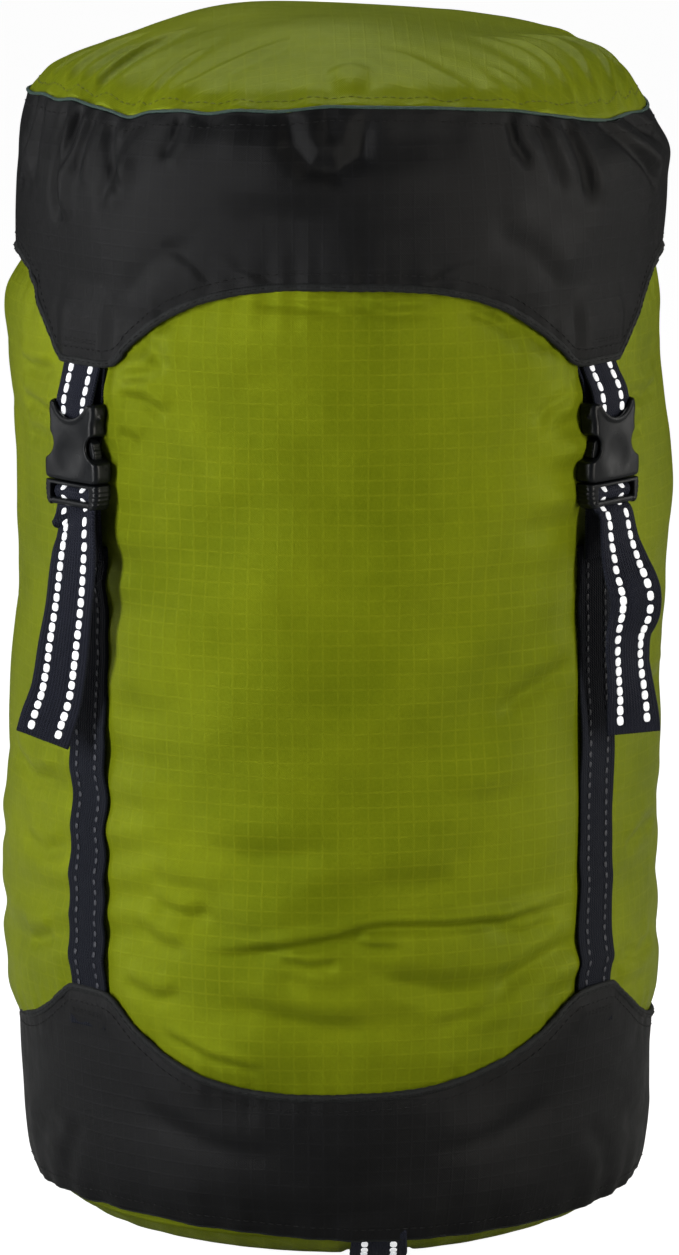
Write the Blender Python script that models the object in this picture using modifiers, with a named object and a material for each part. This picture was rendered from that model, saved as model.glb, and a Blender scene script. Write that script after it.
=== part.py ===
"""Four-strap compression sack, standing upright and stuffed.

Metres, +Z up, origin at the centre of the base on the surface it stands on,
front facing -Y.  A green sack with a gathered drawstring mouth is squeezed
between two black caps: the lower cap is sewn to the sack, the upper cap is a
lid that lifts off.  Four webbing straps join them through side-release
buckles with ladder bars, so pulling a strap tail brings the lid down.
"""
import math

import bmesh
import bpy
from mathutils import Matrix, Vector

# ---------------------------------------------------------------- dimensions
WEBBING_WIDTH = 0.0205
WEBBING_THICK = 0.00115
STRAP_AZIMUTH = 50.0            # degrees either side of the front and back
STRAPS = {
    "front_left": -STRAP_AZIMUTH,
    "front_right": STRAP_AZIMUTH,
    "back_left": -(180.0 - STRAP_AZIMUTH),
    "back_right": 180.0 - STRAP_AZIMUTH,
}

TUBE_RADIUS = 0.1195
TUBE_WALL = 0.0015
TUBE_BOTTOM = 0.0124
TUBE_TOP = 0.4020
BASE_TOP = 0.0120
BASE_FLAT_RADIUS = 0.078

SKIRT_GAP = 0.0031              # room for two layers of webbing under a leg
SKIRT_THICK = 0.0012
LEG_UPPER_TIP = 0.3310
ARCH_UPPER_FRONT = 0.3615
ARCH_UPPER_SIDE = 0.3700
LEG_LOWER_TIP = 0.1000
ARCH_LOWER_FRONT = 0.0700
ARCH_LOWER_SIDE = 0.0770
LEG_UPPER_HALF = 7.4            # degrees
LEG_LOWER_HALF = 5.6
SEAM_UPPER = 0.4175
SEAM_LOWER = 0.0150
BINDING_RADIUS = 0.0010

DOME_TOP = 0.4540
COLLAR_Z = 0.4045
COLLAR_THICK = 0.0015
NECK_RADIUS = 0.0345
NECK_TOP = 0.4200

CORD_RADIUS = 0.0010
CORD_Z = 0.4175
LOCK_Y = -0.0900
LOCK_RADIUS = 0.0065
LOCK_BOTTOM = 0.4082
LOCK_TOP = 0.4215
PLUNGER_RADIUS = 0.0046
PLUNGER_TRAVEL = 0.0030

BUCKLE_FACE = 0.1205            # radius of the buckles' inner faces
SOCKET_TOP = 0.3175
SOCKET_BOTTOM = 0.2886
BUCKLE_THICK = 0.0095
CLIP_TOP = 0.2883
CLIP_BOTTOM = 0.2790
TAIL_END = 0.1920
SPAN_BOTTOM = 0.0860
SPAN_TOP = 0.2820

HANDLE_X = 0.0125

ROUND = 72                      # facets round the caps
SIDES = 48                      # facets round the sack

# ---------------------------------------------------------------- scene
for old in list(bpy.data.objects):
    bpy.data.objects.remove(old, do_unlink=True)

PARTS = bpy.data.collections.new("compression_sack")
CUTTERS = bpy.data.collections.new("cutters")
bpy.context.scene.collection.children.link(PARTS)
bpy.context.scene.collection.children.link(CUTTERS)


def material(name, colour, roughness, metallic=0.0):
    m = bpy.data.materials.new(name)
    m.use_nodes = True
    s = m.node_tree.nodes["Principled BSDF"]
    s.inputs["Base Color"].default_value = (*colour, 1.0)
    s.inputs["Roughness"].default_value = roughness
    s.inputs["Metallic"].default_value = metallic
    m.diffuse_color = (*colour, 1.0)
    return m


GREEN = (0.21, 0.27, 0.008)
BLACK = (0.024, 0.025, 0.026)
NAVY = (0.012, 0.013, 0.027)
PLASTIC = (0.024, 0.025, 0.029)


def empty(name, at, azimuth=0.0, parent=None):
    e = bpy.data.objects.new(name, None)
    e.empty_display_size = 0.01
    e.location = at
    e.rotation_euler = (0.0, 0.0, math.radians(azimuth))
    PARTS.objects.link(e)
    if parent:
        e.parent = parent
        bpy.context.view_layer.update()
        e.matrix_parent_inverse = parent.matrix_world.inverted()
    return e


def adopt(obj, parent):
    """Parents an object and keeps it where it stands."""
    bpy.context.view_layer.update()
    obj.parent = parent
    obj.matrix_parent_inverse = parent.matrix_world.inverted()


def add(name, bm, colour, roughness, metallic=0.0, at=(0, 0, 0), azimuth=0.0,
        parent=None, smooth=True):
    bmesh.ops.recalc_face_normals(bm, faces=bm.faces)
    if all(e.is_manifold for e in bm.edges) and bm.calc_volume(signed=True) < 0.0:
        bmesh.ops.reverse_faces(bm, faces=bm.faces)
    mesh = bpy.data.meshes.new(name)
    bm.to_mesh(mesh)
    bm.free()
    if smooth:
        mesh.shade_smooth()
        mesh.set_sharp_from_angle(angle=math.radians(35))
    obj = bpy.data.objects.new(name, mesh)
    obj.location = at
    obj.rotation_euler = (0.0, 0.0, math.radians(azimuth))
    mesh.materials.append(material(name + "_material", colour, roughness, metallic))
    PARTS.objects.link(obj)
    if parent:
        adopt(obj, parent)
    return obj


def solidify(obj, thick, offset):
    m = obj.modifiers.new("Shell", "SOLIDIFY")
    m.thickness = thick
    m.offset = offset
    m.use_even_offset = True
    return m


def table(x, knots):
    """Straight-line reading of a rising table of (x, value)."""
    if x <= knots[0][0]:
        return knots[0][1]
    for (x0, y0), (x1, y1) in zip(knots, knots[1:]):
        if x <= x1:
            return y0 + (y1 - y0) * (x - x0) / (x1 - x0)
    return knots[-1][1]


TUBE_PROFILE = [
    (TUBE_BOTTOM, 0.1075), (0.024, 0.1125), (0.045, 0.1165), (0.075, 0.1188),
    (0.110, TUBE_RADIUS), (0.350, TUBE_RADIUS), (0.372, 0.1190),
    (0.388, 0.1176), (TUBE_TOP, 0.1145),
]


def tube_radius(z):
    return table(z, TUBE_PROFILE)


def upper_radius(z):
    return table(z, [(0.372, TUBE_RADIUS + SKIRT_GAP), (0.385, 0.1222),
                     (0.395, 0.1212), (0.405, 0.1190), (SEAM_UPPER, 0.1148)])


def lower_radius(z):
    return tube_radius(z) + SKIRT_GAP


def leg_edge(azimuth, arch_front, arch_side, tip, half):
    """Height of a cap's scalloped edge: flat at four leg tips, arched between."""
    a = abs((azimuth + 180.0) % 360.0 - 180.0)      # 0 front, 180 back
    if a > 90.0:
        a = 180.0 - a
    off = abs(a - STRAP_AZIMUTH)
    if off <= half:
        return tip
    if a < STRAP_AZIMUTH:
        share, arch = a / (STRAP_AZIMUTH - half), arch_front
    else:
        share, arch = (90.0 - a) / (90.0 - STRAP_AZIMUTH - half), arch_side
    return arch + (tip - arch) * share ** 3.0


def upper_edge(azimuth):
    return leg_edge(azimuth, ARCH_UPPER_FRONT, ARCH_UPPER_SIDE, LEG_UPPER_TIP, LEG_UPPER_HALF)


def lower_edge(azimuth):
    return leg_edge(azimuth, ARCH_LOWER_FRONT, ARCH_LOWER_SIDE, LEG_LOWER_TIP, LEG_LOWER_HALF)


def on_round(azimuth, radius, z):
    a = math.radians(azimuth)
    return Vector((radius * math.sin(a), -radius * math.cos(a), z))


def wrapped_grid(columns, rows, place):
    """A grid rolled into a ring: place(azimuth, share up the grid) -> point."""
    bm = bmesh.new()
    bmesh.ops.create_grid(bm, x_segments=columns, y_segments=rows, size=0.5)
    for v in bm.verts:
        u, w = v.co.x + 0.5, v.co.y + 0.5
        v.co = place(-180.0 + 360.0 * u, w)
    bmesh.ops.remove_doubles(bm, verts=bm.verts, dist=1e-5)
    return bm


def turned(name, profile, steps, colour, roughness, **where):
    """A profile of (radius, z) turned round Z with a Screw modifier."""
    bm = bmesh.new()
    verts = [bm.verts.new((r, 0.0, z)) for r, z in profile]
    for a, b in zip(verts, verts[1:]):
        bm.edges.new((a, b))
    mesh = bpy.data.meshes.new(name)
    bm.to_mesh(mesh)
    bm.free()
    obj = bpy.data.objects.new(name, mesh)
    obj.location = where.get("at", (0, 0, 0))
    mesh.materials.append(material(name + "_material", colour, roughness))
    PARTS.objects.link(obj)
    if where.get("parent"):
        adopt(obj, where["parent"])
    s = obj.modifiers.new("Turn", "SCREW")
    s.axis = "Z"
    s.angle = math.tau
    s.steps = s.render_steps = steps
    s.use_merge_vertices = True
    s.merge_threshold = 1e-5
    s.use_smooth_shade = True
    return obj


def boxed(bm, low, high):
    """Adds a box to a bmesh."""
    low, high = Vector(low), Vector(high)
    size = high - low
    made = bmesh.ops.create_cube(bm, size=1.0)["verts"]
    for v in made:
        v.co = Vector(v.co[i] * size[i] for i in range(3)) + (low + high) / 2
    return made


def cutter_box(name, low, high, at, azimuth):
    bm = bmesh.new()
    boxed(bm, low, high)
    mesh = bpy.data.meshes.new(name)
    bm.to_mesh(mesh)
    bm.free()
    obj = bpy.data.objects.new(name, mesh)
    obj.location = at
    obj.rotation_euler = (0.0, 0.0, math.radians(azimuth))
    obj.display_type = "WIRE"
    obj.hide_render = True
    CUTTERS.objects.link(obj)
    return obj


def cut(obj, cutter, operation="DIFFERENCE"):
    m = obj.modifiers.new("Cut", "BOOLEAN")
    m.operation = operation
    m.solver = "EXACT"
    m.object = cutter
    if cutter.parent is None and obj.parent is not None:
        adopt(cutter, obj.parent)


def prism(outline, low, high):
    """A flat outline of (across, z) pulled from depth low to depth high.

    Depth runs outwards from the sack, which is -Y in a buckle's own frame.
    """
    bm = bmesh.new()
    verts = [bm.verts.new((t, -low, z)) for t, z in outline]
    face = bm.faces.new(verts)
    out = bmesh.ops.extrude_face_region(bm, geom=[face])
    moved = [g for g in out["geom"] if isinstance(g, bmesh.types.BMVert)]
    bmesh.ops.translate(bm, verts=moved, vec=(0.0, -(high - low), 0.0))
    return bm


def ribbon(path, width, columns=1, hugs=None):
    """A strip laid along a path of (outwards, z); its width runs across.

    Where hugs(outwards) is true the strip curves with the sack's round side.
    """
    bm = bmesh.new()
    bmesh.ops.create_grid(bm, x_segments=columns, y_segments=len(path) - 1, size=0.5)
    for v in bm.verts:
        n, z = path[round((v.co.y + 0.5) * (len(path) - 1))]
        across = v.co.x * width
        sag = across * across / (2.0 * TUBE_RADIUS) if hugs and hugs(n) else 0.0
        v.co = Vector((across, -n + sag, z))
    return bm


# ---------------------------------------------------------------- the sack
sack = empty("sack_axis", (0, 0, 0))

base = turned("base_panel", [
    (0.0, BASE_TOP), (0.060, BASE_TOP), (0.1075, BASE_TOP), (0.1040, 0.0070),
    (0.0950, 0.0026), (BASE_FLAT_RADIUS, 0.0), (0.0, 0.0)], SIDES, GREEN, 0.6, parent=sack)
cut(base, cutter_box("handle_groove", (HANDLE_X - 0.0125, -0.13, -0.002),
                     (HANDLE_X + 0.0125, 0.13, 0.0024), (0, 0, 0), 0.0))

bm = wrapped_grid(SIDES, 8, lambda a, w: on_round(
    a, tube_radius(TUBE_PROFILE[round(w * 8)][0]), TUBE_PROFILE[round(w * 8)][0]))
tube = add("sack_tube", bm, GREEN, 0.6, parent=sack)
solidify(tube, TUBE_WALL, -1.0)

bm = wrapped_grid(ROUND, 4, lambda a, w: on_round(
    a, lower_radius(SEAM_LOWER + (lower_edge(a) - SEAM_LOWER) * w) + SKIRT_THICK,
    SEAM_LOWER + (lower_edge(a) - SEAM_LOWER) * w))
lower_cap = add("lower_cap_skirt", bm, BLACK, 0.7, parent=sack)
solidify(lower_cap, SKIRT_THICK, -1.0)


def edge_binding(name, edge, radius, side, parent):
    """A thin roll of tape that follows a cap's scalloped edge."""
    points = []
    for k in range(ROUND):
        a = -180.0 + 360.0 * k / ROUND
        d = 360.0 / ROUND
        run = math.radians(2 * d) * TUBE_RADIUS
        rise = edge(a + d) - edge(a - d)
        length = math.hypot(run, rise)
        off = BINDING_RADIUS + 0.0004
        z = edge(a) + side * off * run / length
        turn = -side * off * rise / length / TUBE_RADIUS
        points.append(on_round(a + math.degrees(turn),
                               radius(edge(a)) + SKIRT_THICK / 2 + 0.0004, z))
    curve = bpy.data.curves.new(name, "CURVE")
    curve.dimensions = "3D"
    curve.bevel_depth = BINDING_RADIUS
    curve.bevel_resolution = 1
    curve.use_fill_caps = False
    spline = curve.splines.new("POLY")
    spline.points.add(len(points) - 1)
    for p, q in zip(spline.points, points):
        p.co = (*q, 1.0)
    spline.use_cyclic_u = True
    obj = bpy.data.objects.new(name, curve)
    curve.materials.append(material(name + "_material", NAVY, 0.6))
    PARTS.objects.link(obj)
    adopt(obj, parent)
    return obj


edge_binding("lower_edge_binding", lower_edge, lower_radius, 1.0, sack)

for place, azimuth in STRAPS.items():
    # the long run of webbing from under the lower leg up to the ladder bars
    r = TUBE_RADIUS + 0.0003 + WEBBING_THICK / 2
    path = [(r - 0.0003, SPAN_BOTTOM), (r - 0.0001, 0.105), (r, 0.118), (r, 0.180),
            (r, 0.240), (r + 0.0002, 0.265), (r + 0.0007, SPAN_TOP)]
    strap = add("strap_span_" + place,
                ribbon(path, WEBBING_WIDTH, 4, lambda n: True), NAVY, 0.6,
                azimuth=azimuth, parent=sack)
    solidify(strap, WEBBING_THICK, 0.0)

handle_path = [(-0.1085, 0.0092), (-0.1050, 0.0046), (-0.0995, 0.0014), (-0.0920, 0.0008),
               (0.0, 0.0008), (0.0920, 0.0008), (0.0995, 0.0014), (0.1050, 0.0046),
               (0.1085, 0.0092)]
handle = add("base_grab_handle", ribbon(handle_path, WEBBING_WIDTH), NAVY, 0.6,
             at=(HANDLE_X, 0, 0), parent=sack)
solidify(handle, WEBBING_THICK, 0.0)

# ---------------------------------------------------------------- the mouth
mouth = empty("mouth_axis", (0, 0, COLLAR_Z))

collar = turned("mouth_collar", [
    (NECK_RADIUS - 0.0018, NECK_TOP - COLLAR_Z), (NECK_RADIUS, NECK_TOP - COLLAR_Z),
    (NECK_RADIUS, 0.0060), (NECK_RADIUS + 0.0006, COLLAR_THICK), (0.075, COLLAR_THICK),
    (0.1125, COLLAR_THICK), (0.1135, 0.0), (0.075, 0.0), (NECK_RADIUS - 0.0018, 0.0),
    (NECK_RADIUS - 0.0018, NECK_TOP - COLLAR_Z)],
    SIDES, GREEN, 0.6, at=(0, 0, COLLAR_Z), parent=mouth)

cord_ring = NECK_RADIUS + CORD_RADIUS + 0.0004
gap = math.degrees(math.asin(0.0018 / cord_ring))
cord_points = [(-0.0018, LOCK_Y - 0.0105), (-0.0018, LOCK_Y), (-0.0018, -0.0700), (-0.0018, -0.0500)]
for k in range(41):
    a = -gap - (360.0 - 2 * gap) * k / 40
    p = on_round(a, cord_ring, 0.0)
    cord_points.append((p.x, p.y))
cord_points += [(0.0018, -0.0500), (0.0018, -0.0700), (0.0018, LOCK_Y), (0.0018, LOCK_Y - 0.0105)]
curve = bpy.data.curves.new("drawcord", "CURVE")
curve.dimensions = "3D"
curve.bevel_depth = CORD_RADIUS
curve.bevel_resolution = 2
curve.use_fill_caps = True
spline = curve.splines.new("POLY")
spline.points.add(len(cord_points) - 1)
for p, (x, y) in zip(spline.points, cord_points):
    p.co = (x, y, CORD_Z, 1.0)
curve.materials.append(material("drawcord_material", (0.02, 0.02, 0.022), 0.7))
drawcord = bpy.data.objects.new("drawcord", curve)
PARTS.objects.link(drawcord)
adopt(drawcord, mouth)

bm = bmesh.new()
bmesh.ops.create_uvsphere(bm, u_segments=12, v_segments=7, radius=0.0027)
add("drawcord_knot", bm, (0.02, 0.02, 0.022), 0.7, at=(0, LOCK_Y - 0.0137, CORD_Z), parent=mouth)

# ---------------------------------------------------------------- the cord lock
lock = empty("cord_lock_axis", (0, LOCK_Y, LOCK_BOTTOM))
height = LOCK_TOP - LOCK_BOTTOM
barrel = turned("cord_lock_barrel", [
    (0.0, 0.0010), (PLUNGER_RADIUS + 0.0003, 0.0010), (PLUNGER_RADIUS + 0.0003, height),
    (LOCK_RADIUS - 0.0006, height), (LOCK_RADIUS, height - 0.0008), (LOCK_RADIUS, 0.0008),
    (LOCK_RADIUS - 0.0006, 0.0), (0.0, 0.0)], 28, PLASTIC, 0.4,
    at=(0, LOCK_Y, LOCK_BOTTOM), parent=lock)
cord_height = CORD_Z - LOCK_BOTTOM
cut(barrel, cutter_box("barrel_cord_slot", (-0.0033, -0.02, cord_height - 0.0015),
                       (0.0033, 0.02, cord_height + 0.0015), (0, LOCK_Y, LOCK_BOTTOM), 0))

button = empty("cord_lock_button_axis", (0, LOCK_Y, LOCK_BOTTOM), parent=lock)
low = cord_height - 0.0034
plunger = turned("cord_lock_plunger", [
    (0.0, height + PLUNGER_TRAVEL + 0.0002), (PLUNGER_RADIUS - 0.0008, height + PLUNGER_TRAVEL + 0.0002),
    (PLUNGER_RADIUS, height + PLUNGER_TRAVEL - 0.0006), (PLUNGER_RADIUS, low), (0.0, low)],
    24, PLASTIC, 0.4, at=(0, LOCK_Y, LOCK_BOTTOM), parent=button)
cut(plunger, cutter_box("plunger_cord_slot", (-0.0031, -0.02, cord_height - 0.0012),
                        (0.0031, 0.02, cord_height + 0.0012 + PLUNGER_TRAVEL),
                        (0, LOCK_Y, LOCK_BOTTOM), 0))

SPRING_TURNS, SPRING_RADIUS, WIRE = 3.5, 0.0032, 0.00022
spring_low, spring_high = 0.0010 + WIRE + 0.0002, low - WIRE - 0.0002
curve = bpy.data.curves.new("cord_lock_spring", "CURVE")
curve.dimensions = "3D"
curve.bevel_depth = WIRE
curve.bevel_resolution = 1
curve.use_fill_caps = True
count = 36
spline = curve.splines.new("POLY")
spline.points.add(count)
for k in range(count + 1):
    turn = math.tau * SPRING_TURNS * k / count
    p = (SPRING_RADIUS * math.cos(turn), LOCK_Y + SPRING_RADIUS * math.sin(turn),
         LOCK_BOTTOM + spring_low + (spring_high - spring_low) * k / count)
    spline.points[k].co = (*p, 1.0)
curve.materials.append(material("cord_lock_spring_material", (0.5, 0.5, 0.5), 0.3, 1.0))
spring = bpy.data.objects.new("cord_lock_spring", curve)
PARTS.objects.link(spring)
adopt(spring, lock)

# ---------------------------------------------------------------- the lid
lid = empty("lid_axis", (0, 0, SEAM_UPPER))

dome = [(0.1162, SEAM_UPPER + 0.0006), (0.1130, 0.4218), (0.1060, 0.4268), (0.0960, 0.4322),
        (0.0800, 0.4400), (0.0570, 0.4480), (0.0300, 0.4525), (0.0, DOME_TOP)]
inner = [(max(r - 0.0009, 0.0), z - 0.0011) for r, z in dome]
inner[0] = (0.1150, SEAM_UPPER + 0.0006)
turned("lid_top_panel", [(r, z - SEAM_UPPER) for r, z in dome[::-1] + inner],
       SIDES, GREEN, 0.6, at=(0, 0, SEAM_UPPER), parent=lid)

bm = wrapped_grid(ROUND, 5, lambda a, w: on_round(
    a, upper_radius(upper_edge(a) + (SEAM_UPPER - upper_edge(a)) * w) + SKIRT_THICK,
    upper_edge(a) + (SEAM_UPPER - upper_edge(a)) * w - SEAM_UPPER))
upper_cap = add("upper_cap_skirt", bm, BLACK, 0.7, at=(0, 0, SEAM_UPPER), parent=lid)
solidify(upper_cap, SKIRT_THICK, -1.0)
edge_binding("upper_edge_binding", upper_edge, upper_radius, -1.0, lid)

# ---------------------------------------------------------------- the buckles
# across, height above the socket's lower edge
SOCKET_HALF = [(0.0142, 0.0), (0.0150, 0.0020), (0.0148, 0.0075), (0.0134, 0.0130),
               (0.0122, 0.0185), (0.0121, 0.0215), (0.0130, 0.0250), (0.0128, 0.0278), (0.0115, 0.0289)]
CLIP_HALF = [(0.0148, 0.0093), (0.0150, 0.0050), (0.0138, 0.0015), (0.0115, 0.0)]
ARM_HALF = [(0.0056, 0.0004), (0.0092, 0.0004), (0.0097, 0.0088), (0.0124, 0.0089),
            (0.0122, 0.0112), (0.0100, 0.0160), (0.0076, 0.0164), (0.0070, 0.0100)]


def both_sides(half):
    return half + [(-t, z) for t, z in half[::-1]]


for place, azimuth in STRAPS.items():
    at = on_round(azimuth, BUCKLE_FACE, SOCKET_BOTTOM)

    # webbing sewn in two layers under the leg and folded round the socket's bar
    inside, outside = -0.00007, 0.00120
    path = [(inside, 0.0600), (inside, 0.0390), (0.0004, 0.0330), (0.0014, 0.0295),
            (0.0015, 0.0262), (0.0026, 0.0243), (0.0048, 0.0237), (0.0070, 0.0243),
            (0.0081, 0.0262), (0.0081, 0.0288), (0.0060, 0.0325), (0.0026, 0.0365),
            (outside, 0.0395), (outside, 0.0600)]
    bm = ribbon(path, WEBBING_WIDTH, 4, lambda n: n < 0.00125)
    loop = add("lid_strap_" + place, bm, NAVY, 0.6, at=at, azimuth=azimuth, parent=lid)
    solidify(loop, WEBBING_THICK, 0.0)

    socket = add("buckle_socket_" + place, prism(both_sides(SOCKET_HALF), 0.0, BUCKLE_THICK),
                 PLASTIC, 0.4, at=at, azimuth=azimuth, parent=lid)
    soften = socket.modifiers.new("Soften", "BEVEL")
    soften.width = 0.0009
    soften.segments = 1
    soften.limit_method = "ANGLE"
    soften.angle_limit = math.radians(60)
    slots = [
        ("cavity", (-0.0105, -0.0073, -0.004), (0.0105, -0.0021, 0.0180)),
        ("window_left", (-0.0200, -0.0077, 0.0079), (-0.0090, -0.0017, 0.0178)),
        ("window_right", (0.0090, -0.0077, 0.0079), (0.0200, -0.0017, 0.0178)),
        ("slot", (-0.0106, -0.0200, 0.0217), (0.0106, 0.0100, 0.0255)),
        ("bar_front", (-0.0106, -0.0200, 0.0217), (0.0106, -0.0066, 0.0400)),
        ("bar_back", (-0.0106, -0.0030, 0.0217), (0.0106, 0.0100, 0.0400)),
    ]
    for label, low_corner, high_corner in slots:
        cut(socket, cutter_box("socket_" + label + "_" + place, low_corner, high_corner, at, azimuth))

    # the clip with its centre tongue and ladder bars
    clip_at = on_round(azimuth, BUCKLE_FACE, CLIP_BOTTOM)
    release = empty("clip_axis_" + place, clip_at, azimuth)
    clip = add("buckle_clip_" + place, prism(both_sides(CLIP_HALF), 0.0005, 0.0090),
               PLASTIC, 0.4, at=clip_at, azimuth=azimuth, parent=release)
    soften = clip.modifiers.new("Soften", "BEVEL")
    soften.width = 0.0008
    soften.segments = 1
    soften.limit_method = "ANGLE"
    soften.angle_limit = math.radians(60)
    cut(clip, cutter_box("ladder_slot_" + place, (-0.0108, -0.02, 0.0023),
                         (0.0108, 0.02, 0.0082), clip_at, azimuth))
    cut(clip, cutter_box("lower_bar_front_" + place, (-0.0108, -0.02, -0.004),
                         (0.0108, -0.0066, 0.0040), clip_at, azimuth))
    cut(clip, cutter_box("lower_bar_back_" + place, (-0.0108, -0.0026, -0.004),
                         (0.0108, 0.02, 0.0040), clip_at, azimuth))
    cut(clip, cutter_box("ladder_bar_" + place, (-0.0120, -0.0060, 0.0042),
                         (0.0120, -0.0036, 0.0064), clip_at, azimuth), "UNION")
    cut(clip, cutter_box("tongue_" + place, (-0.0030, -0.0066, 0.0085),
                         (0.0030, -0.0029, 0.0262), clip_at, azimuth), "UNION")

    # the strap's loose tail, from round the ladder bar down the outside
    path = [(0.0022, 0.0033), (0.0020, 0.0055), (0.0030, 0.0072), (0.0048, 0.0076),
            (0.0066, 0.0072), (0.0080, 0.0055), (0.0092, 0.0015), (0.0103, -0.0060),
            (0.0106, -0.0150), (0.0098, -0.0300), (0.0092, -0.0500), (0.0090, -0.0700),
            (0.0092, TAIL_END - CLIP_BOTTOM)]
    tail = add("strap_tail_" + place, ribbon(path, WEBBING_WIDTH), NAVY, 0.6,
               at=clip_at, azimuth=azimuth, parent=release)
    solidify(tail, WEBBING_THICK, 0.0)

    for side, sign in (("left", -1.0), ("right", 1.0)):
        # each arm bends at its root, so its origin is there
        root = Vector((sign * 0.0074, -0.0047, CLIP_TOP - CLIP_BOTTOM + 0.0004))
        turn = Matrix.Rotation(math.radians(azimuth), 4, "Z")
        root_at = Vector(clip_at) + turn @ root
        bm = prism([(t, z) for t, z in ARM_HALF], 0.0026, 0.0068)
        for v in bm.verts:
            v.co = Vector((v.co.x * sign, v.co.y, v.co.z + CLIP_TOP - CLIP_BOTTOM)) - root
        add("clip_arm_" + place + "_" + side, bm, PLASTIC, 0.4, at=root_at,
            azimuth=azimuth, parent=release)
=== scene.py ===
"""Looks for the compression sack: fabric, webbing, buckles and cord lock built
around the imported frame.  Metres, +Z up, front facing -Y, origin under the base."""

import math

import bpy
import numpy as np
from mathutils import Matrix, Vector


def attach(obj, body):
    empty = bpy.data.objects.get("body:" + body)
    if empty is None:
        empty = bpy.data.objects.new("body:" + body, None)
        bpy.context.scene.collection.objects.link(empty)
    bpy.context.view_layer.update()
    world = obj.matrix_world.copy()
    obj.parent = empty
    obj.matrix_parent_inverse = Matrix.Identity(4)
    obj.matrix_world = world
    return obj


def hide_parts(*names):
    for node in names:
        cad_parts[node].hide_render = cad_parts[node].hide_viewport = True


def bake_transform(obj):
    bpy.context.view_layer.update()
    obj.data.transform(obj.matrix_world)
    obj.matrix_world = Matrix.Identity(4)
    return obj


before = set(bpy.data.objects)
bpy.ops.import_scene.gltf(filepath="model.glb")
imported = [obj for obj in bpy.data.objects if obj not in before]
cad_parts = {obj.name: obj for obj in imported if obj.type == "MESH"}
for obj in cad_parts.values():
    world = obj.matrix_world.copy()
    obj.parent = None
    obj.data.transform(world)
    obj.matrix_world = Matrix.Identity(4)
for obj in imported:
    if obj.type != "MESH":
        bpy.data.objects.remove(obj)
SCENE = bpy.context.scene


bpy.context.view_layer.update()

# ------------------------------------------------------------------ sizes
AZ = 50.0
STRAPS = {"front_left": -AZ, "front_right": AZ, "back_left": -(180 - AZ), "back_right": 180 - AZ}
FACE = 0.1205                    # radius of the buckles' inner faces
SOCKET_Z = 0.2886
CLIP_Z = 0.2790
CLIP_TOP = 0.2883
TRAVEL = 0.15                    # how far the lid comes down
WEB = 0.0205
WEB_T = 0.00125


# ------------------------------------------------------------------ numbers
def soft_table(knots, x, soft, period=None):
    """A table of (x, value) read with its corners rounded over about `soft`."""
    kx = np.array([k[0] for k in knots], float)
    kv = np.array([k[1] for k in knots], float)
    if period:
        kx = np.concatenate([kx - period, kx, kx + period])
        kv = np.concatenate([kv, kv, kv])
    lo, hi = kx[0] - 6 * soft, kx[-1] + 6 * soft
    fine = np.linspace(lo, hi, 4001)
    val = np.interp(fine, kx, kv)
    step = fine[1] - fine[0]
    n = max(1, int(3 * soft / step))
    w = np.exp(-0.5 * (np.arange(-n, n + 1) * step / soft) ** 2)
    pad = np.concatenate([np.full(n, val[0]), val, np.full(n, val[-1])])
    val = np.convolve(pad, w / w.sum(), mode="valid")
    return np.interp(x, fine, val)


def step01(x):
    x = np.clip(x, 0.0, 1.0)
    return x * x * (3 - 2 * x)


def wrap(a):
    return (np.asarray(a, float) + 180.0) % 360.0 - 180.0


def waves(th, z, seed, n, kth, kz):
    """Smooth lumps round the sack: whole numbers of waves round, free ones up."""
    rng = np.random.RandomState(seed)
    out = np.zeros(np.broadcast(th, z).shape)
    for _ in range(n):
        k = rng.randint(kth[0], kth[1] + 1)
        q = rng.uniform(*kz) * rng.choice([-1, 1])
        out = out + np.sin(np.radians(th) * k + q * z + rng.uniform(0, 2 * np.pi))
    return out / math.sqrt(n)


def crease(th, z, points, depth, width, lip=0.7, ends=0.25):
    """A fold along points of (azimuth, height in mm): a valley with a raised lip above it."""
    pts = np.array([(math.radians(a) * 0.121, h / 1000.0) for a, h in points])
    mid = math.degrees(pts[:, 0].mean() / 0.121)
    x = np.radians(wrap(th - mid) + mid) * 0.121
    seg = np.linalg.norm(np.diff(pts, axis=0), axis=1)
    run = np.concatenate([[0], np.cumsum(seg)]) / seg.sum()
    best = np.full(np.broadcast(x, z).shape, 1e9)
    side = np.zeros_like(best)
    along = np.zeros_like(best)
    for i in range(len(pts) - 1):
        d = pts[i + 1] - pts[i]
        L = np.hypot(*d)
        t = np.clip(((x - pts[i, 0]) * d[0] + (z - pts[i, 1]) * d[1]) / L ** 2, 0, 1)
        ex, ez = x - pts[i, 0] - t * d[0], z - pts[i, 1] - t * d[1]
        dist = np.hypot(ex, ez)
        s = np.sign(d[0] * ez - d[1] * ex)
        near = dist < best
        best = np.where(near, dist, best)
        side = np.where(near, s, side)
        along = np.where(near, run[i] + t * (run[i + 1] - run[i]), along)
    env = step01(np.minimum(along, 1 - along) / ends)
    sd = best * np.where(side == 0, 1, side)
    valley = -np.exp(-(sd / width) ** 2)
    ridge = lip * np.exp(-((sd - 2.0 * width) / (1.4 * width)) ** 2)
    return depth * env * (valley + ridge) * np.exp(-(best / (6 * width)) ** 2)


def strap_off(th):
    """Degrees to the nearest strap."""
    a = np.abs(wrap(th))
    a = np.where(a > 90, 180 - a, a)
    return np.abs(a - AZ)


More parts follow.
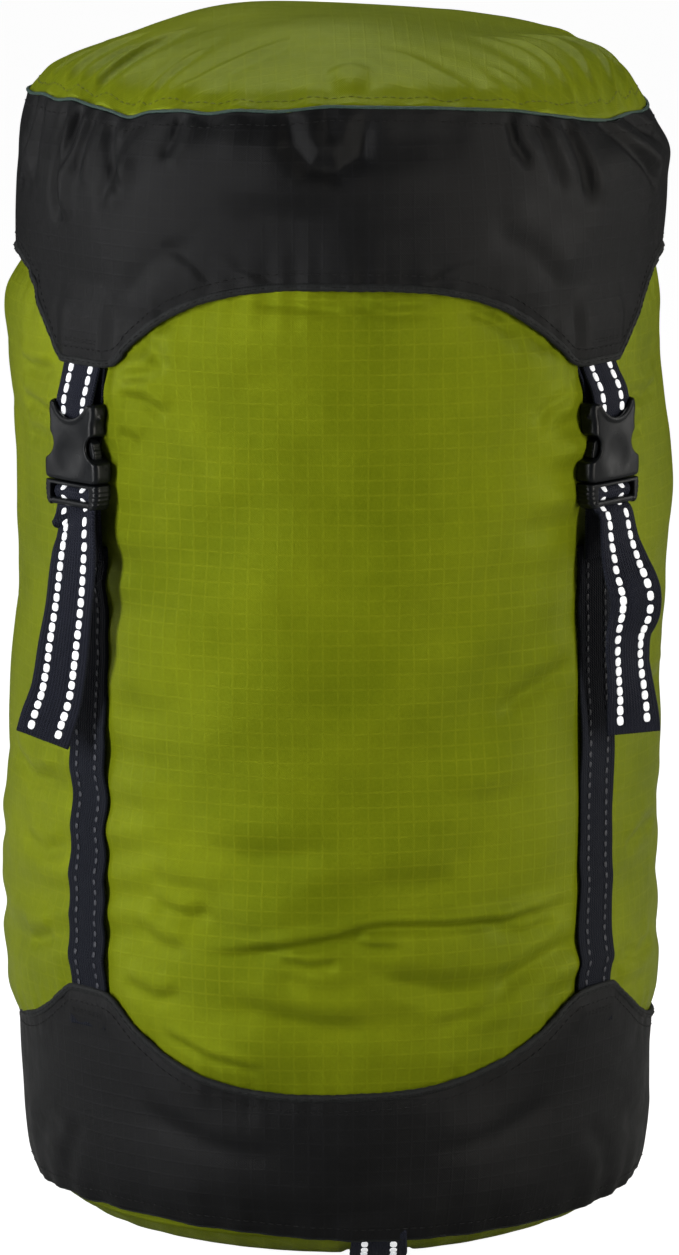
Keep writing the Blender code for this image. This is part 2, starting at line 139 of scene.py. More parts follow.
def scallop(th, front, side, tip, half, power=3.0):
    a = np.abs(wrap(th))
    a = np.where(a > 90, 180 - a, a)
    share = np.where(a < AZ, a / (AZ - half), (90 - a) / (90 - AZ - half))
    arch = np.where(a < AZ, front, side)
    return np.where(np.abs(a - AZ) <= half, tip, arch + (tip - arch) * np.clip(share, 0, 1) ** power)


_TH = np.linspace(-180, 180, 2881)


def _rounded(values, deg):
    n = int(deg / (_TH[1] - _TH[0]) * 3)
    w = np.exp(-0.5 * (np.arange(-n, n + 1) / (n / 3.0)) ** 2)
    pad = np.concatenate([values[-n - 1:-1], values, values[1:n + 1]])
    return np.convolve(pad, w / w.sum(), mode="valid")


_up = _rounded(scallop(_TH, 0.3615, 0.3640, 0.3308, 7.2), 1.1)
_low = _rounded(scallop(_TH, 0.0700, 0.0775, 0.1003, 5.4), 1.1)
# the front and the sides don't match exactly: hems are sewn by hand
_up = _up + 0.0012 * np.sin(np.radians(_TH) * 1 + 2.2) * (np.abs(_up - 0.3308) > 0.004)
_low = _low + 0.0014 * np.sin(np.radians(_TH) * 3 - 0.6) * step01((0.1003 - _low) / 0.008)


def edge_up(th):
    return np.interp(wrap(th), _TH, _up)


def edge_low(th):
    return np.interp(wrap(th), _TH, _low)


SEAM = [(-180, 423), (-150, 422), (-131, 418), (-112, 421), (-90, 422.5), (-78, 423), (-70, 424.4), (-64, 423.0), (-58, 424.6), (-53, 423.0), (-47, 421.8),
        (-42, 419.6), (-38, 422.6), (-30, 424.0), (-25, 422.9), (-20, 424.9), (-12, 424.6), (-3, 426.8), (16, 425.8), (32, 423.5),
        (38, 421.5), (43, 420), (50, 417.8), (58, 416.2), (66, 417.5), (75, 416.4), (90, 416.6), (112, 420), (131, 418), (150, 422)]


def seam_z(th):
    return soft_table(SEAM, wrap(th), 1.1, 360.0) / 1000.0


def seam_r(th):
    return 0.1140 + 0.0003 * np.sin(np.radians(th) * 4 + 1.0) - 0.0005 * np.exp(-(strap_off(th) / 8) ** 2)


# ------------------------------------------------------------------ the green sack
BASE = [(0.0, .104), (.0124, .1072), (.024, .1125), (.045, .1160), (.065, .1185), (.085, .1203), (.11, .1212),
        (.20, .1215), (.34, .1214), (.36, .1206), (.375, .1195), (.388, .1178), (.402, .1145)]
LEFT = [(.0, .104), (.0124, .1072), (.045, .1160), (.066, .1178), (.0735, .1186), (.0790, .1222), (.0860, .1236), (.1077, .1243), (.1348, .1258),
        (.155, .1252), (.177, .1220), (.2305, .1211), (.268, .1211), (.288, .1197), (.306, .1193),
        (.325, .1221), (.340, .1227), (.351, .1216), (.3575, .1186), (.3625, .1152), (.37, .1155), (.388, .1160), (.402, .1145)]
RIGHT = [(.0, .104), (.0124, .1072), (.045, .1150), (.066, .1158), (.0748, .1163), (.0805, .1188), (.0870, .1200), (.1155, .1205), (.154, .1194),
         (.192, .1210), (.2457, .1226), (.276, .1249), (.295, .1243), (.322, .1202), (.340, .1194), (.352, .1178),
         (.362, .1160), (.37, .1160), (.388, .1160), (.402, .1145)]

_Z = np.linspace(-0.01, 0.43, 1200)
_RB = soft_table(BASE, _Z, 0.006)
_RL = soft_table(LEFT, _Z, 0.0026)
_RR = soft_table(RIGHT, _Z, 0.0030)

CREASES = [  # points (azimuth, height mm), depth m, width m, lip
    ([(-27, 119), (-18, 120.5), (-8, 124.5), (-1, 127.5), (3, 130.5), (7, 131.5), (17, 130.5), (28, 130), (37, 132), (46, 133.5)], .0016, .0021, 1.0),
    ([(-22, 103.5), (-15, 99), (-8, 96), (-1, 94.5), (6, 95)], .0013, .0045, .6),
    ([(26, 205.7), (35, 215), (45, 223)], .0011, .0045, .7),
    ([(25, 103), (35, 113.5), (46, 119)], .0012, .0040, .7),
    ([(-42, 321), (-36, 319.5), (-31, 314)], .0011, .0026, .8),
    ([(-41.5, 327), (-33, 331)], .0008, .0022, .8),
    ([(-42, 308), (-37, 303)], .0006, .0025, .8),
    ([(-73, 327), (-66, 325), (-58, 327)], .0012, .0026, .9),
    ([(-74, 313), (-66, 312), (-58, 308)], .0012, .0028, .9),
    ([(-72, 300), (-60, 302)], .0008, .0030, .8),
    ([(43, 322), (37, 318), (33, 311)], .0008, .0026, .8),
    ([(60, 318), (68, 314), (76, 316)], .0011, .0030, .9),
    ([(59, 305), (66, 303)], .0007, .0025, .8),
    ([(-34, 89.5), (-24, 81), (-13, 76.5)], .0007, .0018, 1.0),
    ([(-8, 142), (6, 147), (22, 146)], .0007, .0055, .7),
    ([(-17, 358.6), (-7, 356.8), (1, 355)], .0011, .0020, 1.0),
    ([(-2, 359), (8, 354), (17, 354.5)], .0008, .0022, .9),
    ([(20, 356), (27, 350), (31, 343)], .0013, .0030, .9),
    ([(30, 351), (35, 344), (37, 336)], .0010, .0026, .8),
    ([(3, 118), (10, 110), (20, 106)], .0010, .0040, .8),
    ([(-13, 120), (-6, 117), (0, 118.5)], .0011, .0022, .9),
    ([(0, 128), (4, 124), (10, 123)], .0010, .0022, .9),
    ([(24, 128), (33, 125), (41, 128)], .0008, .0028, .9),
    ([(-36, 136), (-28, 133), (-22, 136)], .0008, .0030, .8),
    ([(-42, 106), (-34, 101), (-28, 104)], .0009, .0030, .8),
    ([(-30, 160), (-18, 156), (-4, 160), (6, 158)], .0006, .0050, .7),
    ([(-14, 114), (-4, 108), (4, 110)], .0007, .0036, .8),
    ([(-30, 138), (-20, 127), (-10, 116)], .0012, .0085, .5),
    ([(8, 118), (17, 107), (25, 99)], .0011, .0080, .5),
    ([(-14, 102), (-5, 90), (5, 84)], .0011, .0080, .5),
    ([(-4, 300), (0, 270), (-2, 235), (2, 200)], .0008, .0130, .3),
    ([(-40, 128), (-33, 121), (-27, 120)], .0008, .0032, .8),
    ([(14, 92), (24, 97), (32, 104)], .0008, .0034, .8),
    ([(-40, 345), (-34, 338), (-31, 330)], .0009, .0036, .8),
    ([(-38, 150), (-30, 143), (-20, 141)], .0006, .0040, .7),
    ([(-36, 300), (-22, 296)], .0004, .0050, .6),
    ([(14, 180), (24, 176), (36, 180)], .0005, .0050, .6),
    ([(-72, 150), (-64, 146), (-57, 150)], .0010, .0034, .8),
    ([(-80, 180), (-68, 172), (-58, 175)], .0012, .0036, .8),
    ([(-70, 110), (-60, 116)], .0010, .0030, .8),
    ([(60, 145), (70, 152), (80, 150)], .0012, .0036, .8),
    ([(58, 110), (66, 105), (76, 108)], .0010, .0030, .8),
    ([(58, 200), (70, 206), (84, 203)], .0010, .0044, .8),
    # the back
    ([(138, 320), (146, 315), (152, 309)], .0011, .0026, .8),
    ([(-138, 318), (-147, 313), (-153, 306)], .0010, .0028, .8),
    ([(150, 122), (165, 127), (-180 + 360, 124), (195, 128), (210, 120)], .0014, .0026, .9),
    ([(165, 98), (180, 94), (196, 99)], .0011, .0045, .6),
    ([(140, 210), (155, 219), (168, 222)], .0009, .0048, .7),
    ([(-160, 260), (-150, 252), (-141, 254)], .0007, .0045, .7),
    ([(100, 300), (110, 305), (122, 302)], .0010, .0034, .8),
    ([(-100, 240), (-110, 246), (-122, 240)], .0010, .0040, .8),
    ([(96, 130), (108, 124), (120, 128)], .0011, .0036, .8),
    ([(-96, 120), (-108, 128), (-121, 124)], .0011, .0036, .8),
]

SIM = {"field": None, "th": None, "z": None}


def sim_field(th, z):
    """Displacement left by the cloth simulation, read between its points."""
    F = SIM["field"]
    if F is None:
        return 0.0
    nz, nu = F.shape
    u = (wrap(th) + 180.0) / 360.0 * nu
    v = np.clip((z - SIM["z"][0]) / (SIM["z"][-1] - SIM["z"][0]), 0, 1) * (nz - 1)
    i0 = np.floor(u).astype(int)
    j0 = np.minimum(np.floor(v).astype(int), nz - 2)
    fu, fv = u - i0, v - j0
    i0, i1 = i0 % nu, (i0 + 1) % nu
    a = F[j0, i0] * (1 - fu) + F[j0, i1] * fu
    b = F[j0 + 1, i0] * (1 - fu) + F[j0 + 1, i1] * fu
    out = a * (1 - fv) + b * fv
    fade = step01((z - SIM["z"][0]) / 0.01) * step01((SIM["z"][-1] - z) / 0.01)
    return out * fade


def sack_round(th, z):
    """The sack's radius without its fine folds."""
    th = wrap(th)
    s = np.sin(np.radians(th))
    wl, wr = np.clip(-s, 0, 1) ** 6, np.clip(s, 0, 1) ** 6
    rb, rl, rr = (np.interp(z, _Z, t) for t in (_RB, _RL, _RR))
    r = rb + wl * (rl - rb) + wr * (rr - rb)
    inside = step01((z - 0.03) / 0.05) * step01((0.395 - z) / 0.05)
    r = r + 0.0013 * inside * waves(th, z, 5, 9, (2, 6), (14, 62))
    r = r + 0.00055 * inside * waves(th, z, 12, 10, (5, 13), (60, 150))
    r = r - 0.0012 * np.exp(-(strap_off(th) / 6.5) ** 2) * step01((z - .06) / .04)
    r = r - 0.0027 * np.exp(-(strap_off(th) / 8.5) ** 2) * step01((z - .135) / .035) * step01((.300 - z) / .025)
    return r


def sack_radius(th, z, fine=True):
    r = sack_round(th, z)
    # the caps' hems grip, and the cloth bulges just past them
    du, dl = edge_up(th) - z, z - edge_low(th)
    r = r - 0.0008 * np.exp(-(du / .005) ** 2) + 0.0009 * np.exp(-((du - .017) / .010) ** 2)
    r = r - 0.0006 * np.exp(-(dl / .005) ** 2) + 0.0008 * np.exp(-((dl - .016) / .010) ** 2)
    if not fine:
        return r
    r = r + sim_field(th, z)
    clear = step01((du - .0005) / .0045) * step01((dl - .0005) / .0045)
    for pts, depth, width, lip in CREASES:
        r = r + 1.6 * clear * crease(th, z, pts, depth, width, lip)
    t = np.radians(th)
    # mostly level wrinkles, strongest by the straps and low down
    where = np.exp(-((strap_off(th) - 9) / 9) ** 2) * 0.8 + 0.9 * np.exp(-((z - .125) / .035) ** 2) + 0.16
    where = 1.5 * where * step01(waves(th, z, 64, 6, (2, 5), (12, 50)) * 0.6 + 0.55)
    r = r + 0.00042 * where * waves(th, z, 41, 12, (3, 11), (190, 430)) * step01((edge_up(th) - z) / .01) * step01((z - edge_low(th)) / .01)
    # puckers along both hems
    pu = np.sin(t * 83 + 1.7 * np.sin(t * 9)) * 0.6 + np.sin(t * 57 + 2.1 * np.sin(t * 5 + 1)) * 0.6
    r = r + 0.00050 * pu * np.exp(-(np.clip(du, 0, 1) / .011) ** 1.5) * (du > -.004)
    pl = np.sin(t * 91 + 1.9 * np.sin(t * 7 + 2)) * 0.6 + np.sin(t * 61 + 2.4 * np.sin(t * 4)) * 0.6
    r = r + 0.00032 * pl * np.exp(-(np.clip(dl, 0, 1) / .008) ** 1.5) * (dl > -.004)
    return r


def strap_lift(th, z, lo, hi, amount):
    """Where a cap's leg passes over a sewn strap it stands off by the strap."""
    across = np.radians(strap_off(th)) * 0.121
    return amount * step01((0.0165 - across) / 0.0080) * step01((z - lo + .003) / .004) * step01((hi + .010 - z) / .016)


UP_FOLDS = [
    ([(-60.5, 426), (-58.5, 404), (-57.5, 378)], .0023, .0032, .9),
    ([(-75, 426), (-74, 408), (-76, 388)], .0015, .0036, .8),
    ([(-55, 424), (-54.5, 410), (-56, 398)], .0014, .0024, .9),
    ([(-46, 421), (-44, 404), (-40, 392)], .0012, .0030, .8),
    ([(-30, 424), (-31, 414), (-33, 406)], .0009, .0026, .8),
    ([(30, 424), (31, 412), (34, 402)], .0010, .0026, .8),
    ([(-22, 362), (-26, 371), (-32, 378)], .0003, .0017, .7),
    ([(-10, 362), (-15, 368), (-20, 372)], .0003, .0015, .7),
    ([(12, 362), (17, 368), (23, 372)], .0003, .0015, .7),
    ([(-70, 427), (-68, 408), (-66, 392)], .0010, .0030, .8),
    ([(-50, 424), (-51, 408), (-52, 394)], .0009, .0025, .8),
    ([(-40, 422), (-43, 404), (-46, 386)], .0010, .0030, .8),
    ([(52, 420), (60, 406), (73, 389)], .0020, .0032, .9),
    ([(43, 422), (45.5, 402), (47, 386)], .0012, .0028, .8),
    ([(61, 419), (70, 411), (82, 404)], .0014, .0030, .9),
    ([(36, 424), (38, 408), (41, 392)], .0009, .0030, .8),
    ([(-11, 430), (-9, 414), (-6, 406), (-1.5, 404.5), (2.5, 410), (3.5, 428)], .0017, .0042, .6),
    ([(-24, 392), (-10, 388), (8, 389), (20, 393)], .0008, .0060, .6),
    ([(24, 384), (34, 372), (41, 356)], .0009, .0050, .7),
    ([(-24, 380), (-34, 370), (-41, 354)], .0009, .0050, .7),
    ([(-84, 405), (-76, 396), (-66, 390)], .0010, .0040, .7),
    ([(130, 422), (128, 404), (126, 386)], .0014, .0032, .8),
    ([(121, 422), (117, 406), (110, 392)], .0012, .0030, .8),
    ([(140, 422), (138, 408), (137, 392)], .0010, .0030, .8),
    ([(-130, 422), (-128, 402), (-127, 386)], .0014, .0032, .8),
    ([(-120, 422), (-116, 406), (-108, 394)], .0012, .0030, .8),
    ([(-141, 422), (-139, 408), (-138, 390)], .0010, .0030, .8),
    ([(160, 392), (175, 388), (190, 392)], .0008, .0060, .6),
]
LOW_FOLDS = [
    ([(-62, 22), (-58, 36), (-53, 50)], .0008, .0050, .7),
    ([(58, 22), (55, 36), (48, 50)], .0007, .0050, .7),
    ([(-40, 60), (-25, 48), (-10, 44)], .0008, .0050, .7),
    ([(14, 44), (28, 50), (42, 62)], .0008, .0050, .7),
    ([(-78, 30), (-68, 40), (-58, 44)], .0009, .0045, .7),
    ([(60, 46), (72, 38), (84, 30)], .0009, .0045, .7),
    ([(130, 20), (130, 45), (131, 80)], .0010, .0040, .7),
    ([(-130, 20), (-130, 45), (-131, 80)], .0010, .0040, .7),
    ([(150, 50), (165, 46), (182, 50)], .0008, .0050, .7),
    ([(-20, 26), (-4, 22), (14, 27)], .0006, .0040, .7),
]

UP_PROFILE = [(.33, .1228), (.360, .1226), (.372, .1228), (.385, .1228), (.395, .1222), (.404, .1212), (.412, .1190), (.4235, .1148), (.43, .1120)]
_RU = soft_table(UP_PROFILE, _Z, 0.0025)
_RUL = soft_table([(.33, .1232), (.352, .1205), (.3600, .1178), (.3643, .1188), (.378, .1194), (.392, .1197), (.402, .1193), (.409, .1181), (.416, .1160), (.4231, .1138), (.43, .112)], _Z, 0.002)
_RUR = soft_table([(.33, .1225), (.353, .1188), (.360, .1190), (.366, .1197), (.380, .1212), (.392, .1221), (.399, .1238), (.404, .1224), (.4095, .1188), (.4165, .1150), (.43, .112)], _Z, 0.002)
LOW_PROFILE = [(.0, .1080), (.0135, .1122), (.020, .1152), (.030, .1178), (.045, .1194), (.060, .1202), (.075, .1208), (.10, .1215)]
_RW = soft_table(LOW_PROFILE, _Z, 0.003)
_RWL = soft_table([(.0, .108), (.0135, .1135), (.020, .1165), (.0378, .1193), (.060, .1203), (.0728, .1206), (.078, .1204), (.10, .121)], _Z, 0.003)
_RWR = soft_table([(.0, .108), (.0135, .1130), (.020, .1157), (.0339, .1178), (.055, .1180), (.0748, .1180), (.081, .1186), (.10, .120)], _Z, 0.003)


def upper_cap(th, z):
    """Outer radius of the black upper cap."""
    hug = sack_radius(th, z, fine=False) + 0.0017
    s = np.sin(np.radians(th))
    wl, wr = np.clip(-s, 0, 1) ** 7, np.clip(s, 0, 1) ** 7

    def outline(at):
        a, b, c = (np.interp(at, _Z, q) for q in (_RU, _RUL, _RUR))
        return a + wl * (b - a) + wr * (c - a)

    own = outline(z)
    zs = seam_z(th)
    # near the seam the cloth turns in to the lid
    top = np.clip((z - (zs - .016)) / .016, 0, 1)
    own = own + (seam_r(th) + .0003 - outline(zs)) * top ** 2
    w = step01((z - .342) / .030)
    w = np.maximum(w, np.maximum(wl, wr) * step01((z - .336) / .014))
    r = hug * (1 - w) + own * w
    r = r + strap_lift(th, z, .331, .352, 0.0024)
    mid = step01((z - .345) / .02) * step01((zs - z) / .012)
    r = r + 0.0011 * mid * waves(th, z, 21, 8, (3, 9), (20, 90)) + 0.00035 * mid * waves(th, z, 22, 9, (9, 22), (60, 160))
    for pts, depth, width, lip in UP_FOLDS:
        r = r + 1.5 * crease(th, z, pts, depth, width, lip)
    t = np.radians(th)
    d = z - edge_up(th)
    pu = np.sin(t * 83 + 1.7 * np.sin(t * 9)) * 0.6 + np.sin(t * 57 + 2.1 * np.sin(t * 5 + 1)) * 0.6
    r = r + 0.00030 * pu * np.exp(-(np.clip(d, 0, 1) / .011) ** 1.5) * step01(strap_off(th) / 8 - .2)
    ds = np.clip(zs - z, 0, 1)
    gat = np.sin(t * 46 + 2.2 * np.sin(t * 3 + .4)) + 0.7 * np.sin(t * 29 + 1.2 * np.sin(t * 6))
    r = r + 0.00030 * gat * np.exp(-(ds / .014) ** 1.3) * step01(ds / .004)
    return r


def lower_cap(th, z):
    hug = sack_radius(th, z, fine=False) + 0.0017
    s = np.sin(np.radians(th))
    wl, wr = np.clip(-s, 0, 1) ** 7, np.clip(s, 0, 1) ** 7
    a, b, c = (np.interp(z, _Z, q) for q in (_RW, _RWL, _RWR))
    own = a + wl * (b - a) + wr * (c - a)
    w = step01((.078 - z) / .035)
    w = np.maximum(w, np.maximum(wl, wr) * step01((.100 - z) / .014))
    r = hug * (1 - w) + own * w
    r = r + strap_lift(th, z, .084, .1003, 0.0013) * step01((z - .080) / .014)
    mid = step01((z - .018) / .02)
    r = r + 0.0008 * mid * waves(th, z, 33, 8, (3, 9), (20, 90)) + 0.0003 * mid * waves(th, z, 34, 9, (9, 20), (60, 160))
    for pts, depth, width, lip in LOW_FOLDS:
        r = r + 1.2 * crease(th, z, pts, depth, width, lip)
    t = np.radians(th)
    d = edge_low(th) - z
    pl = np.sin(t * 91 + 1.9 * np.sin(t * 7 + 2)) * 0.6 + np.sin(t * 61 + 2.4 * np.sin(t * 4)) * 0.6
    r = r + 0.00015 * pl * np.exp(-(np.clip(d, 0, 1) / .011) ** 1.5) * step01(strap_off(th) / 8 - .2)
    b = np.clip(z - .0150, 0, 1)
    gat = np.sin(t * 44 + 2.2 * np.sin(t * 4 + .4)) + 0.7 * np.sin(t * 31 + 1.2 * np.sin(t * 5))
    r = r + 0.0004 * gat * np.exp(-(b / .012) ** 1.3)
    return r


def place(th, r, z):
    t = np.radians(th)
    return np.stack(np.broadcast_arrays(r * np.sin(t), -r * np.cos(t), z), axis=-1)


# ------------------------------------------------------------------ mesh making
def collect(name, verts, quads, uvs=None, mats=(), extra=(), smooth=True):
    """A mesh object from numpy corners; quads is (n, 4); extra holds other polygons."""
    mesh = bpy.data.meshes.new(name)
    quads = np.asarray(quads, np.int64).reshape(-1, 4)
    loops = quads.ravel()
    sizes = np.full(len(quads), 4)
    uv = None if uvs is None else [np.asarray(uvs, float).reshape(-1, 2)]
    for poly, poly_uv in extra:
        loops = np.concatenate([loops, poly])
        sizes = np.concatenate([sizes, [len(poly)]])
        if uv is not None:
            uv.append(np.asarray(poly_uv, float).reshape(-1, 2))
    starts = np.concatenate([[0], np.cumsum(sizes)[:-1]])
    mesh.vertices.add(len(verts))
    mesh.vertices.foreach_set("co", np.asarray(verts, np.float32).ravel())
    mesh.loops.add(len(loops))
    mesh.loops.foreach_set("vertex_index", loops.astype(np.int32))
    mesh.polygons.add(len(sizes))
    mesh.polygons.foreach_set("loop_start", starts.astype(np.int32))
    mesh.polygons.foreach_set("loop_total", sizes.astype(np.int32))
    if smooth:
        mesh.polygons.foreach_set("use_smooth", np.ones(len(sizes), bool))
    mesh.update(calc_edges=True)
    if uv is not None:
        layer = mesh.uv_layers.new(name="UVMap")
        layer.data.foreach_set("uv", np.concatenate(uv).astype(np.float32).ravel())
    mesh.validate()
    for m in mats:
        mesh.materials.append(m)
    ob = bpy.data.objects.new(name, mesh)
    SCENE.collection.objects.link(ob)
    return ob


def grid_quads(rows, cols, closed, offset=0, flip=False):
    j, i = np.meshgrid(np.arange(rows - 1), np.arange(cols if closed else cols - 1), indexing="ij")
    i1 = (i + 1) % cols
    q = np.stack([j * cols + i, j * cols + i1, (j + 1) * cols + i1, (j + 1) * cols + i], -1).reshape(-1, 4) + offset
    return q[:, ::-1] if flip else q


def grid_uvs(U, V, closed, flip=False):
    """Corner UVs for grid_quads; U and V have one more column than the grid if it closes."""
    a = np.stack([U[:-1, :-1], V[:-1, :-1]], -1)
    b = np.stack([U[:-1, 1:], V[:-1, 1:]], -1)
    c = np.stack([U[1:, 1:], V[1:, 1:]], -1)
    d = np.stack([U[1:, :-1], V[1:, :-1]], -1)
    parts = [d, c, b, a] if flip else [a, b, c, d]
    return np.stack(parts, 2).reshape(-1, 2)


def grid_normals(P, closed):
    if closed:
        du = np.roll(P, -1, 1) - np.roll(P, 1, 1)
    else:
        du = np.gradient(P, axis=1)
    dv = np.gradient(P, axis=0)
    n = np.cross(du, dv)
    return n / np.maximum(np.linalg.norm(n, axis=-1, keepdims=True), 1e-12)


def shell(name, P, U, V, thick, mats, closed=True):
    """A closed skin: the grid P outside, the same grid set in by thick, and its rims."""
    rows, cols = P.shape[:2]
    N = grid_normals(P, closed)
    inner = P - N * thick
    verts = np.concatenate([P.reshape(-1, 3), inner.reshape(-1, 3)])
    n = rows * cols
    quads = [grid_quads(rows, cols, closed), grid_quads(rows, cols, closed, n, True)]
    uvs = [grid_uvs(U, V, closed), grid_uvs(U, V, closed, True)]
    i = np.arange(cols if closed else cols - 1)
    i1 = (i + 1) % cols
    top = (rows - 1) * cols
    quads.append(np.stack([top + i, top + i1, n + top + i1, n + top + i], -1))
    quads.append(np.stack([i1, i, n + i, n + i1], -1))
    for row in (-1, 0):
        u0, u1 = U[row, :-1], U[row, 1:]
        v = V[row, :-1]
        e = thick
        if row == -1:
            uvs.append(np.stack([np.stack([u0, v], -1), np.stack([u1, v], -1), np.stack([u1, v + e], -1), np.stack([u0, v + e], -1)], 1).reshape(-1, 2))
        else:
            uvs.append(np.stack([np.stack([u1, v], -1), np.stack([u0, v], -1), np.stack([u0, v - e], -1), np.stack([u1, v - e], -1)], 1).reshape(-1, 2))
    if not closed:
        j = np.arange(rows - 1)
        for col, fl in ((0, False), (cols - 1, True)):
            a, b = j * cols + col, (j + 1) * cols + col
            q = np.stack([a, b, n + b, n + a], -1)
            quads.append(q[:, ::-1] if fl else q)
            uvs.append(np.tile(np.array([[U[0, col], V[0, col]]]), (len(q) * 4, 1)))
    return collect(name, verts, np.concatenate(quads), np.concatenate(uvs), mats)


def spline(points, step):
    """A smooth curve through the points, walked at about one point per step."""
    p = np.asarray(points, float)
    q = np.concatenate([[2 * p[0] - p[1]], p, [2 * p[-1] - p[-2]]])
    out = []
    for i in range(1, len(q) - 2):
        a, b, c, d = q[i - 1:i + 3]
        n = max(4, int(np.linalg.norm((c - b)[:3]) / step * 2))
        for t in np.linspace(0, 1, n, endpoint=False):
            out.append(0.5 * (2 * b + (c - a) * t + (2 * a - 5 * b + 4 * c - d) * t ** 2 + (3 * b - a - 3 * c + d) * t ** 3))
    out.append(q[-2])
    out = np.array(out)
    run = np.concatenate([[0], np.cumsum(np.linalg.norm(np.diff(out[:, :3], axis=0), axis=1))])
    n = max(3, int(round(run[-1] / step)) + 1)
    s = np.linspace(0, run[-1], n)
    return np.stack([np.interp(s, run, out[:, k]) for k in range(out.shape[1])], -1)


def unit(v):
    return v / np.maximum(np.linalg.norm(v, axis=-1, keepdims=True), 1e-12)


def frames(C, N):
    T = unit(np.gradient(C, axis=0))
    B = unit(np.cross(T, N))
    N = unit(np.cross(B, T))
    return T, B, N


def webbing(name, C, N, mats, width=WEB, thick=WEB_T, seed=0):
    """A woven strap along C with outward normals N; round selvedges, closed ends."""
    T, B, N = frames(C, N)
    hw, ht, e = width / 2, thick / 2, 0.0006
    xs = np.linspace(-hw + e, hw - e, 13)
    crown = 0.00012 * np.cos(xs / hw * math.pi * 2.0)
    ring = [(x, ht + c) for x, c in zip(xs, crown)]
    ring += [(hw - e + e * math.sin(a), ht * math.cos(a)) for a in np.radians([40, 90, 140])]
    ring += [(x, -ht - c) for x, c in zip(xs[::-1], crown[::-1])]
    ring += [(-hw + e - e * math.sin(a), -ht * math.cos(a)) for a in np.radians([40, 90, 140])]
    ring = np.array(ring)[::-1]
    rng = np.random.RandomState(seed + 11)
    run = np.concatenate([[0], np.cumsum(np.linalg.norm(np.diff(C, axis=0), axis=1))])
    wob = 0.00018 * np.sin(run * 210 + rng.uniform(0, 6)) + 0.00014 * np.sin(run * 97 + rng.uniform(0, 6))
    k = len(ring)
    P = C[:, None] + B[:, None] * (ring[None, :, 0:1] * (1 + (wob / hw)[:, None, None])) + N[:, None] * ring[None, :, 1:2]
    rows = len(C)
    quads = grid_quads(rows, k, True)
    U = np.tile(np.append(ring[:, 0], ring[0, 0]), (rows, 1))
    V = np.tile(run[:, None], (1, k + 1))
    uvs = grid_uvs(U, V, True)
    a = np.arange(k)
    caps = [(a[::-1], np.stack([ring[::-1, 0], np.zeros(k)], -1)),
            ((rows - 1) * k + a, np.stack([ring[:, 0], np.full(k, run[-1])], -1))]
    return collect(name, P.reshape(-1, 3), quads, uvs, mats, caps)


def dashes(name, C, N, mats, start, stop, rows=(-0.00535, 0.00535), pitch=0.0039, size=(0.00170, 0.00128),
           side=1.0, thick=WEB_T, seed=0):
    """Two rows of raised reflective dashes woven into a strap's face."""
    T, B, N = frames(C, N)
    run = np.concatenate([[0], np.cumsum(np.linalg.norm(np.diff(C, axis=0), axis=1))])
    rng = np.random.RandomState(seed + 3)
    verts, quads, tris = [], [], []
    m = 14
    ang = np.linspace(0, 2 * math.pi, m, endpoint=False)
    ca, sa = np.cos(ang), np.sin(ang)
    shape = np.stack([np.sign(ca) * np.abs(ca) ** 0.75, np.sign(sa) * np.abs(sa) ** 0.75], -1)
    levels = [(1.0, -0.00012), (1.0, 0.00006), (0.86, 0.00016), (0.5, 0.00022)]
    for r, row in enumerate(rows):
        s = start + pitch * 0.5
        while s < stop - pitch * 0.4:
            ss = s + rng.uniform(-1, 1) * 0.00012
            c = np.array([np.interp(ss, run, C[:, k]) for k in range(3)])
            t, b, n = (unit(np.array([np.interp(ss, run, A[:, k]) for k in range(3)])) for A in (T, B, N))
            c = c + b * (row + rng.uniform(-1, 1) * 0.00010) + n * side * (thick / 2 + 0.00008)
            lx, lw = size[0] * rng.uniform(.93, 1.05), size[1] * rng.uniform(.93, 1.05)
            base = len(verts)
            for f, h in levels:
                for a, w in shape:
                    verts.append(c + t * a * lx * f + b * w * lw * f + n * side * h)
            verts.append(c + n * side * 0.00024)
            for lv in range(len(levels) - 1):
                for i in range(m):
                    i1 = (i + 1) % m
                    q = [base + lv * m + i, base + lv * m + i1, base + (lv + 1) * m + i1, base + (lv + 1) * m + i]
                    quads.append(q if side > 0 else q[::-1])
            top = base + (len(levels) - 1) * m
            for i in range(m):
                q = [top + i, top + (i + 1) % m, base + len(levels) * m]
                tris.append(q if side > 0 else q[::-1])
            q = [base + i for i in range(m)][::-1]
            tris.append(q if side > 0 else q[::-1])
            s += pitch
    ob = collect(name, np.array(verts), quads, np.zeros((len(quads) * 4, 2)), mats,
                 [(np.array(q), np.zeros((len(q), 2))) for q in tris])
    return ob


